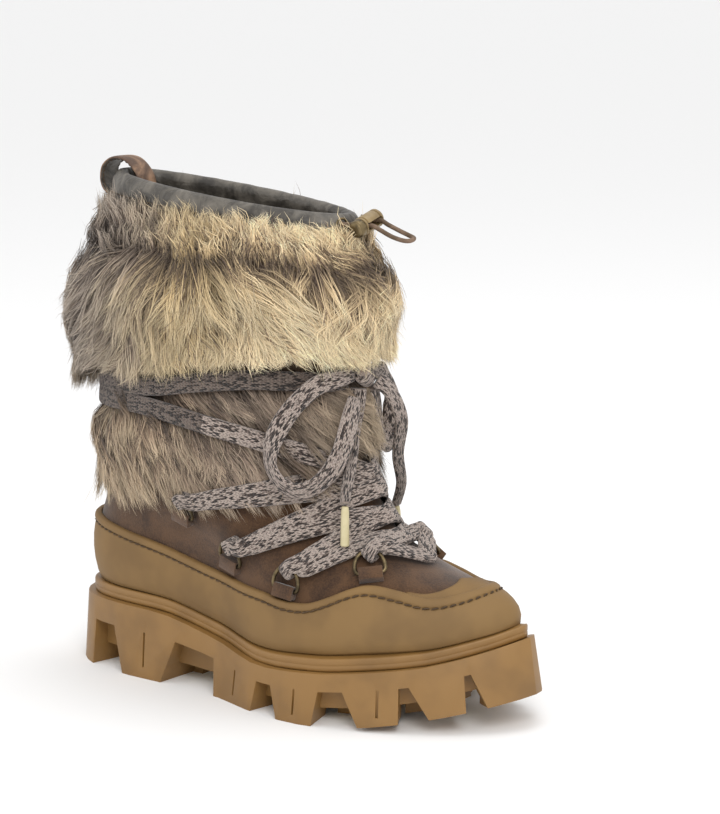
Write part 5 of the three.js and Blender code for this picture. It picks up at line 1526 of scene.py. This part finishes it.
class SNOWBOOT_OT_collar(BootStep):
    """Binds the rim with rolled leather, sets the eyelets and sews on the pull loop."""

    bl_idname = "snowboot.collar"
    bl_label = "Collar"

    def make(self, sizes):
        columns = 200
        turns = np.arange(columns) / columns
        foot = RIM - 0.42
        section = [(foot, 0.6), (foot, 3.2), (RIM - 0.37, 4.1), (RIM - 0.26, 4.6), (RIM - 0.12, 4.65),
                   (RIM - 0.01, 4.1), (RIM + 0.07, 2.6), (RIM + 0.115, 0.8), (RIM + 0.12, -1.0),
                   (RIM + 0.09, -3.0), (RIM + 0.02, -4.1), (RIM - 0.1, -4.3), (RIM - 0.28, -4.2),
                   (foot, -3.9), (foot, -2.45), (RIM + 0.015, -2.45), (RIM + 0.015, 0.5)]
        front = np.minimum(np.abs(turns - 0.5) * 2 / 0.24, 1)
        rings = []
        for k, (row, offset) in enumerate(section):
            soft = 0.32 * np.sin(turns * 2 * np.pi * 23 + k * 0.5) + 0.2 * np.sin(turns * 2 * np.pi * 41 - k)
            pucker = (1 - front) * 0.5 * np.sin(turns * 2 * np.pi * 60 + k * 0.3)
            loose = 1.0 if 2 <= k <= 12 else 0.0
            rings.append(skin(np.full(columns, row), turns, offset + loose * (soft + pucker) * 0.55))
        kept(loft("collar_rolled_leather", rings, finishes["collar_leather_waxed"], looped=True), "collar",
             slot="collar_leather")
        seam = []
        for turn in np.arange(0, 1, 1 / 96):
            t = np.array([turn, turn + 0.0062])
            rows = np.full(2, RIM - 0.3)
            points = skin(rows, t, 4.75)
            seam.append(small_stitch(points[0], points[1], upper_normal(rows[:1], t[:1])[0], 0.5))
        kept(stitches("collar_seam", seam, finishes["thread_waxed"]), slot="collar_leather")
        for side, (place, out) in zip(("outer", "inner"), eyelet_places()):
            bpy.ops.mesh.primitive_torus_add(major_radius=0.0028, minor_radius=0.0006, major_segments=32,
                                             minor_segments=10, location=(0, 0, 0))
            piece = bpy.context.object
            piece.name = f"eyelet_{side}_rolled"
            bpy.ops.object.shade_smooth()
            piece.data.materials.append(finishes["brass_antique"])
            placed(piece, out, place + out * 0.9)
            kept(piece, f"collar_eyelet_{side}", slot="bronze")
        self.pull_loop()

    def pull_loop(self):
        back = skin(np.array(float(RIM)), np.array(0.0), 4.625 + 0.45 + 1.0)
        line = [(0, -0.74), (0.06, -0.6), (0.3, -0.42), (0.4, -0.08), (0.3, 0.32), (-0.08, 0.57),
                (-0.62, 0.53), (-1.07, 0.16), (-1.25, -0.3), (-1.25, -0.8)]
        path = np.array([[back[0] - out * 17, back[1], back[2] + up * 17] for out, up in line])
        facings = np.cross([0, 1, 0], np.gradient(path, axis=0))
        piece, way, _ = strip("pull_loop_strap", path, facings, 15, 1.9,
                              finishes["strap_leather_grained"], 1.0, 20)
        piece.data.materials.append(finishes["collar_leather_waxed"])
        middle = to_row(np.mean(path[1:8], axis=0))
        for face in piece.data.polygons:
            toward = Vector(middle) - face.center
            toward.y = 0
            if face.normal.dot(toward) > 0.2 * toward.length and abs(face.normal.y) < 0.5:
                face.material_index = 1
        kept(piece, "pull_loop", slot="strap")
        ahead = unit(np.gradient(way, axis=0))
        outs = -unit(np.cross(ahead, [0, 1, 0]))
        seams = []
        for side in (-5.9, 5.9):
            for k in range(2, len(way) - 4, 3):
                shift = np.array([0, side, 0])
                out = outs[k]
                start, end = way[k] + shift + out, way[k + 2] + shift + out
                seams.append(small_stitch(start, end, out, 0.45))
        kept(stitches("pull_loop_seams", seams, finishes["thread_waxed"]), slot="strap")


def all_rings():
    return {side: [ring_frame(along, lift, side) for along, lift in RING_PLACES]
            for side in ("outer", "inner")}


class SNOWBOOT_OT_rings(BootStep):
    """Casts the D-rings and sews their suede tabs."""

    bl_idname = "snowboot.rings"
    bl_label = "D-rings"

    def make(self, sizes):
        half = [(0.84, 0), (1, 0.16), (0.93, 0.6), (0.5, 1)]
        line = half + [(-across, rise) for across, rise in half[::-1]]
        for side, frames in all_rings().items():
            for k, at in enumerate(frames):
                path = np.array([at["middle"] + at["bar"] * across * 7.9 + at["rise"] * rise * 10.9
                                 for across, rise in line])
                fine = closed_curve(path, np.linspace(0, 1, 97))
                piece, _, _ = tube(f"d_ring_{side}_{k + 1}_cast", fine, 2.1, finishes["brass_antique"],
                                   0.7, 12, closed=True)
                kept(piece, f"d_ring_{side}_{k + 1}", slot="bronze")
                self.tab(side, k)

    def tab(self, side, k):
        piece = copy_of(f"ring_tab_{side}_{k + 1}", f"tab_{side}_{k + 1}_suede", finishes["vamp_suede"])
        worked(piece)
        flat = piece.modifiers.new("flat", "DECIMATE")
        flat.decimate_type, flat.angle_limit = "DISSOLVE", math.radians(4)
        bevel = piece.modifiers.new("edges", "BEVEL")
        bevel.width, bevel.segments, bevel.limit_method = 0.0007, 3, "ANGLE"
        bevel.angle_limit = math.radians(35)
        apply_all(piece)
        bpy.ops.object.shade_smooth_by_angle(angle=math.radians(35))
        kept(piece, f"ring_tab_{side}_{k + 1}", slot="suede")


# So far from each end, in millimetres, the lace runs in the shade of the fur.
SHADED_LENGTH = 330


class SNOWBOOT_OT_lace(BootStep):
    """Laces the boot: over the vamp from ring to ring and round the ankle."""

    bl_idname = "snowboot.lace"
    bl_label = "Lace"

    def make(self, sizes):
        chain = lace_chain(all_rings())
        path = np.array([p for p, _, _ in chain])
        facings = np.array([f for _, f, _ in chain])
        wide = np.array([w for _, _, w in chain])
        piece, _, _ = strip("lace_crossed_knitted", path, facings, LACE_WIDTH, LACE_THICKNESS,
                            finishes["lace_wool_knitted"], 1.5, 14, wide)
        # Near both ends the lace takes the darker copy of its finish: painted shade of the fur over the
        # wraps.
        piece.data.materials.append(finishes["lace_wool_shaded"])
        layer = piece.data.uv_layers["UVMap"].data
        last = max(corner.uv[1] for corner in layer)
        for face in piece.data.polygons:
            at = layer[face.loop_start].uv[1]
            if min(at, last - at) < SHADED_LENGTH:
                face.material_index = 1
        kept(piece, "lace_crossings", slot="lace")


class SNOWBOOT_OT_cuff_fur(BootStep):
    """Grows the long fur of the cuff."""

    bl_idname = "snowboot.cuff_fur"
    bl_label = "Cuff fur"

    def make(self, sizes):
        rng = np.random.default_rng(11)
        lines = [lambda t, s=share: mix(cuff_foot(t), CUFF_TOP, s) for share in SWELL[0]]
        base = fur_base("cuff_underfur", lines, lambda row, turn: np.maximum(cuff_fur(row, turn) * 0.5, 2.2),
                        finishes["underfur_dense"])
        kept(base, "fur_cuff", slot="fur")
        for k in range(4):
            kept(cuff_hair(f"cuff_hair_{k + 1}", k / 4, (k + 1) / 4, sizes, rng), slot="fur")


class SNOWBOOT_OT_ankle_fur(BootStep):
    """Grows the fur round the ankle, pressed under the laces."""

    bl_idname = "snowboot.ankle_fur"
    bl_label = "Ankle fur"

    def make(self, sizes):
        rng = np.random.default_rng(23)

        def line(share):
            return lambda t: mix(line_at("edge", t) + 0.1, line_at("high", t) + 0.28, share)

        base = fur_base("ankle_underfur", [line(s) for s in np.linspace(0, 1, 14)],
                        lambda row, turn: np.maximum(ankle_fur(row, turn) * 0.5, 1.6),
                        finishes["underfur_dense"])
        kept(base, "fur_ankle", slot="fur")
        for k in range(2):
            kept(ankle_hair(f"ankle_hair_{k + 1}", k / 2, (k + 1) / 2, sizes, rng), slot="fur")


class SNOWBOOT_OT_stopper(BootStep):
    """Turns the cord stopper's barrel and its button."""

    bl_idname = "snowboot.stopper"
    bl_label = "Cord stopper"

    def turned(self, name, profile, material):
        deselect()
        mesh = bpy.data.meshes.new(name)
        edges = [(k, k + 1) for k in range(len(profile) - 1)]
        mesh.from_pydata([(r / 1000, 0, z / 1000) for r, z in profile], edges, [])
        piece = bpy.data.objects.new(name, mesh)
        bpy.context.collection.objects.link(piece)
        worked(piece)
        bpy.ops.object.mode_set(mode="EDIT")
        bpy.ops.mesh.select_all(action="SELECT")
        bpy.ops.mesh.spin(steps=48, angle=2 * math.pi, center=(0, 0, 0), axis=(0, 0, 1))
        bpy.ops.mesh.select_all(action="SELECT")
        bpy.ops.mesh.remove_doubles(threshold=1e-6)
        bpy.ops.mesh.normals_make_consistent(inside=False)
        bpy.ops.object.mode_set(mode="OBJECT")
        bpy.ops.object.shade_smooth_by_angle(angle=math.radians(38))
        piece.data.materials.append(material)
        return piece

    def make(self, sizes):
        barrel = [(0, 0), (3.6, 0), (4.5, 0.25), (4.95, 0.9), (5, 1.9), (4.85, 2.2), (4.3, 2.45),
                  (4.25, 2.95), (4.85, 3.2), (5, 3.5), (5, 7.5), (5, 12.5), (4.85, 12.8), (4.25, 13.05),
                  (4.3, 13.55), (4.85, 13.8), (5, 14.1), (4.9, 14.8), (4.5, 15), (0, 15)]
        start = LOCK_MIDDLE - LOCK_AXIS * LOCK_LENGTH / 2
        piece = self.turned("stopper_barrel", barrel, finishes["stopper_nylon"])
        placed(piece, LOCK_AXIS, start)
        self.slot_through(piece)
        kept(piece, "cord_lock_barrel", slot="lock_plastic")
        button = [(0, 0), (4.6, 0), (4.7, 0.3), (4.7, 2.9), (4.45, 3.6), (4.1, 3.75), (4.0, 4.3), (3.5, 4.8),
                  (2.4, 4.95), (2.2, 4.7), (0.9, 4.6), (0, 4.6)]
        piece = self.turned("stopper_button", button, finishes["brass_antique"])
        placed(piece, LOCK_AXIS, LOCK_MIDDLE + LOCK_AXIS * (LOCK_LENGTH / 2 - 5))
        kept(piece, "cord_lock_button", slot="bronze")

    def slot_through(self, piece):
        """Cuts the flat opening that the cord's two strands run through."""
        bpy.ops.mesh.primitive_cube_add(size=1, location=(0, 0, 0))
        tool = bpy.context.object
        tool.scale = (0.03, 0.013, 0.004)
        bpy.ops.object.transform_apply(scale=True)
        bevel = tool.modifiers.new("round", "BEVEL")
        bevel.width, bevel.segments = 0.0016, 4
        apply_all(tool)
        along = Vector(LOCK_AXIS)
        x = Vector((1, 0, 0)) - along * along.x
        x.normalize()
        turn = Matrix((x, along, x.cross(along))).transposed().to_4x4()
        tool.data.transform(Matrix.Translation(Vector(to_row(LOCK_MIDDLE - LOCK_AXIS * 2.2))) @ turn)
        cutter = piece.modifiers.new("slot", "BOOLEAN")
        cutter.operation, cutter.object, cutter.solver = "DIFFERENCE", tool, "EXACT"
        worked(piece)
        bpy.ops.object.modifier_apply(modifier=cutter.name)
        bpy.data.objects.remove(tool)
        bpy.ops.object.shade_smooth_by_angle(angle=math.radians(38))


class SNOWBOOT_OT_studio(BootStep):
    """Lays the pale studio floor and hangs the soft lights."""

    bl_idname = "snowboot.studio"
    bl_label = "Studio"

    def make(self, sizes):
        bpy.ops.mesh.primitive_plane_add(size=300, location=(0, 0, 0))
        floor = bpy.context.object
        floor.name = "studio_floor"
        material, _, shader = new_material("studio_paper")
        shader.inputs["Base Color"].default_value = (*sizes.floor_colour, 1)
        shader.inputs["Roughness"].default_value = 0.9
        shader.inputs["Specular IOR Level"].default_value = 0.1
        floor.data.materials.append(material)
        world = bpy.data.worlds.new("studio")
        bpy.context.scene.world = world
        world.use_nodes = True
        background = world.node_tree.nodes["Background"]
        background.inputs[0].default_value = (1, 1, 1, 1)
        background.inputs[1].default_value = 1.0
        bpy.context.scene.view_settings.view_transform = "Standard"
        for name, spot, aim, size, watts in (
            ("key", (1.1, -1.1, 1.3), (0, 0, 0.14), 0.9, 13),
            ("fill", (-1.2, -1.0, 0.8), (0, 0, 0.12), 1.2, 2),
            ("top", (0.2, 0.4, 1.9), (0, 0, 0.1), 1.0, 6),
        ):
            data = bpy.data.lights.new(name, "AREA")
            data.shape, data.size, data.energy = "DISK", size, watts
            lamp = bpy.data.objects.new(name, data)
            bpy.context.collection.objects.link(lamp)
            lamp.location = spot
            lamp.rotation_euler = (Vector(aim) - Vector(spot)).to_track_quat("-Z", "Y").to_euler()


STEPS = (
    SNOWBOOT_OT_camera, SNOWBOOT_OT_draw_cord, SNOWBOOT_OT_bow, SNOWBOOT_OT_sole, SNOWBOOT_OT_upper,
    SNOWBOOT_OT_rand, SNOWBOOT_OT_collar, SNOWBOOT_OT_rings, SNOWBOOT_OT_lace, SNOWBOOT_OT_cuff_fur,
    SNOWBOOT_OT_ankle_fur, SNOWBOOT_OT_stopper, SNOWBOOT_OT_studio,
)


class SNOWBOOT_PT_panel(bpy.types.Panel):
    """Lists the boot's steps and sizes in the 3D view's sidebar."""

    bl_idname = "SNOWBOOT_PT_panel"
    bl_label = "Snow Boot"
    bl_space_type = "VIEW_3D"
    bl_region_type = "UI"
    bl_category = "Snow Boot"

    def draw(self, context):
        for name in BootSizes.__annotations__:
            self.layout.prop(context.scene.snow_boot, name)
        for step in STEPS:
            self.layout.operator(step.bl_idname)


def register():
    for kind in (BootSizes, *STEPS, SNOWBOOT_PT_panel):
        bpy.utils.register_class(kind)
    bpy.types.Scene.snow_boot = PointerProperty(type=BootSizes)


def unregister():
    del bpy.types.Scene.snow_boot
    for kind in (SNOWBOOT_PT_panel, *STEPS[::-1], BootSizes):
        bpy.utils.unregister_class(kind)


def main():
    register()
    finishes_made()
    for step in STEPS:
        group, name = step.bl_idname.split(".")
        getattr(getattr(bpy.ops, group), name)()


if __name__ == "__main__":
    main()
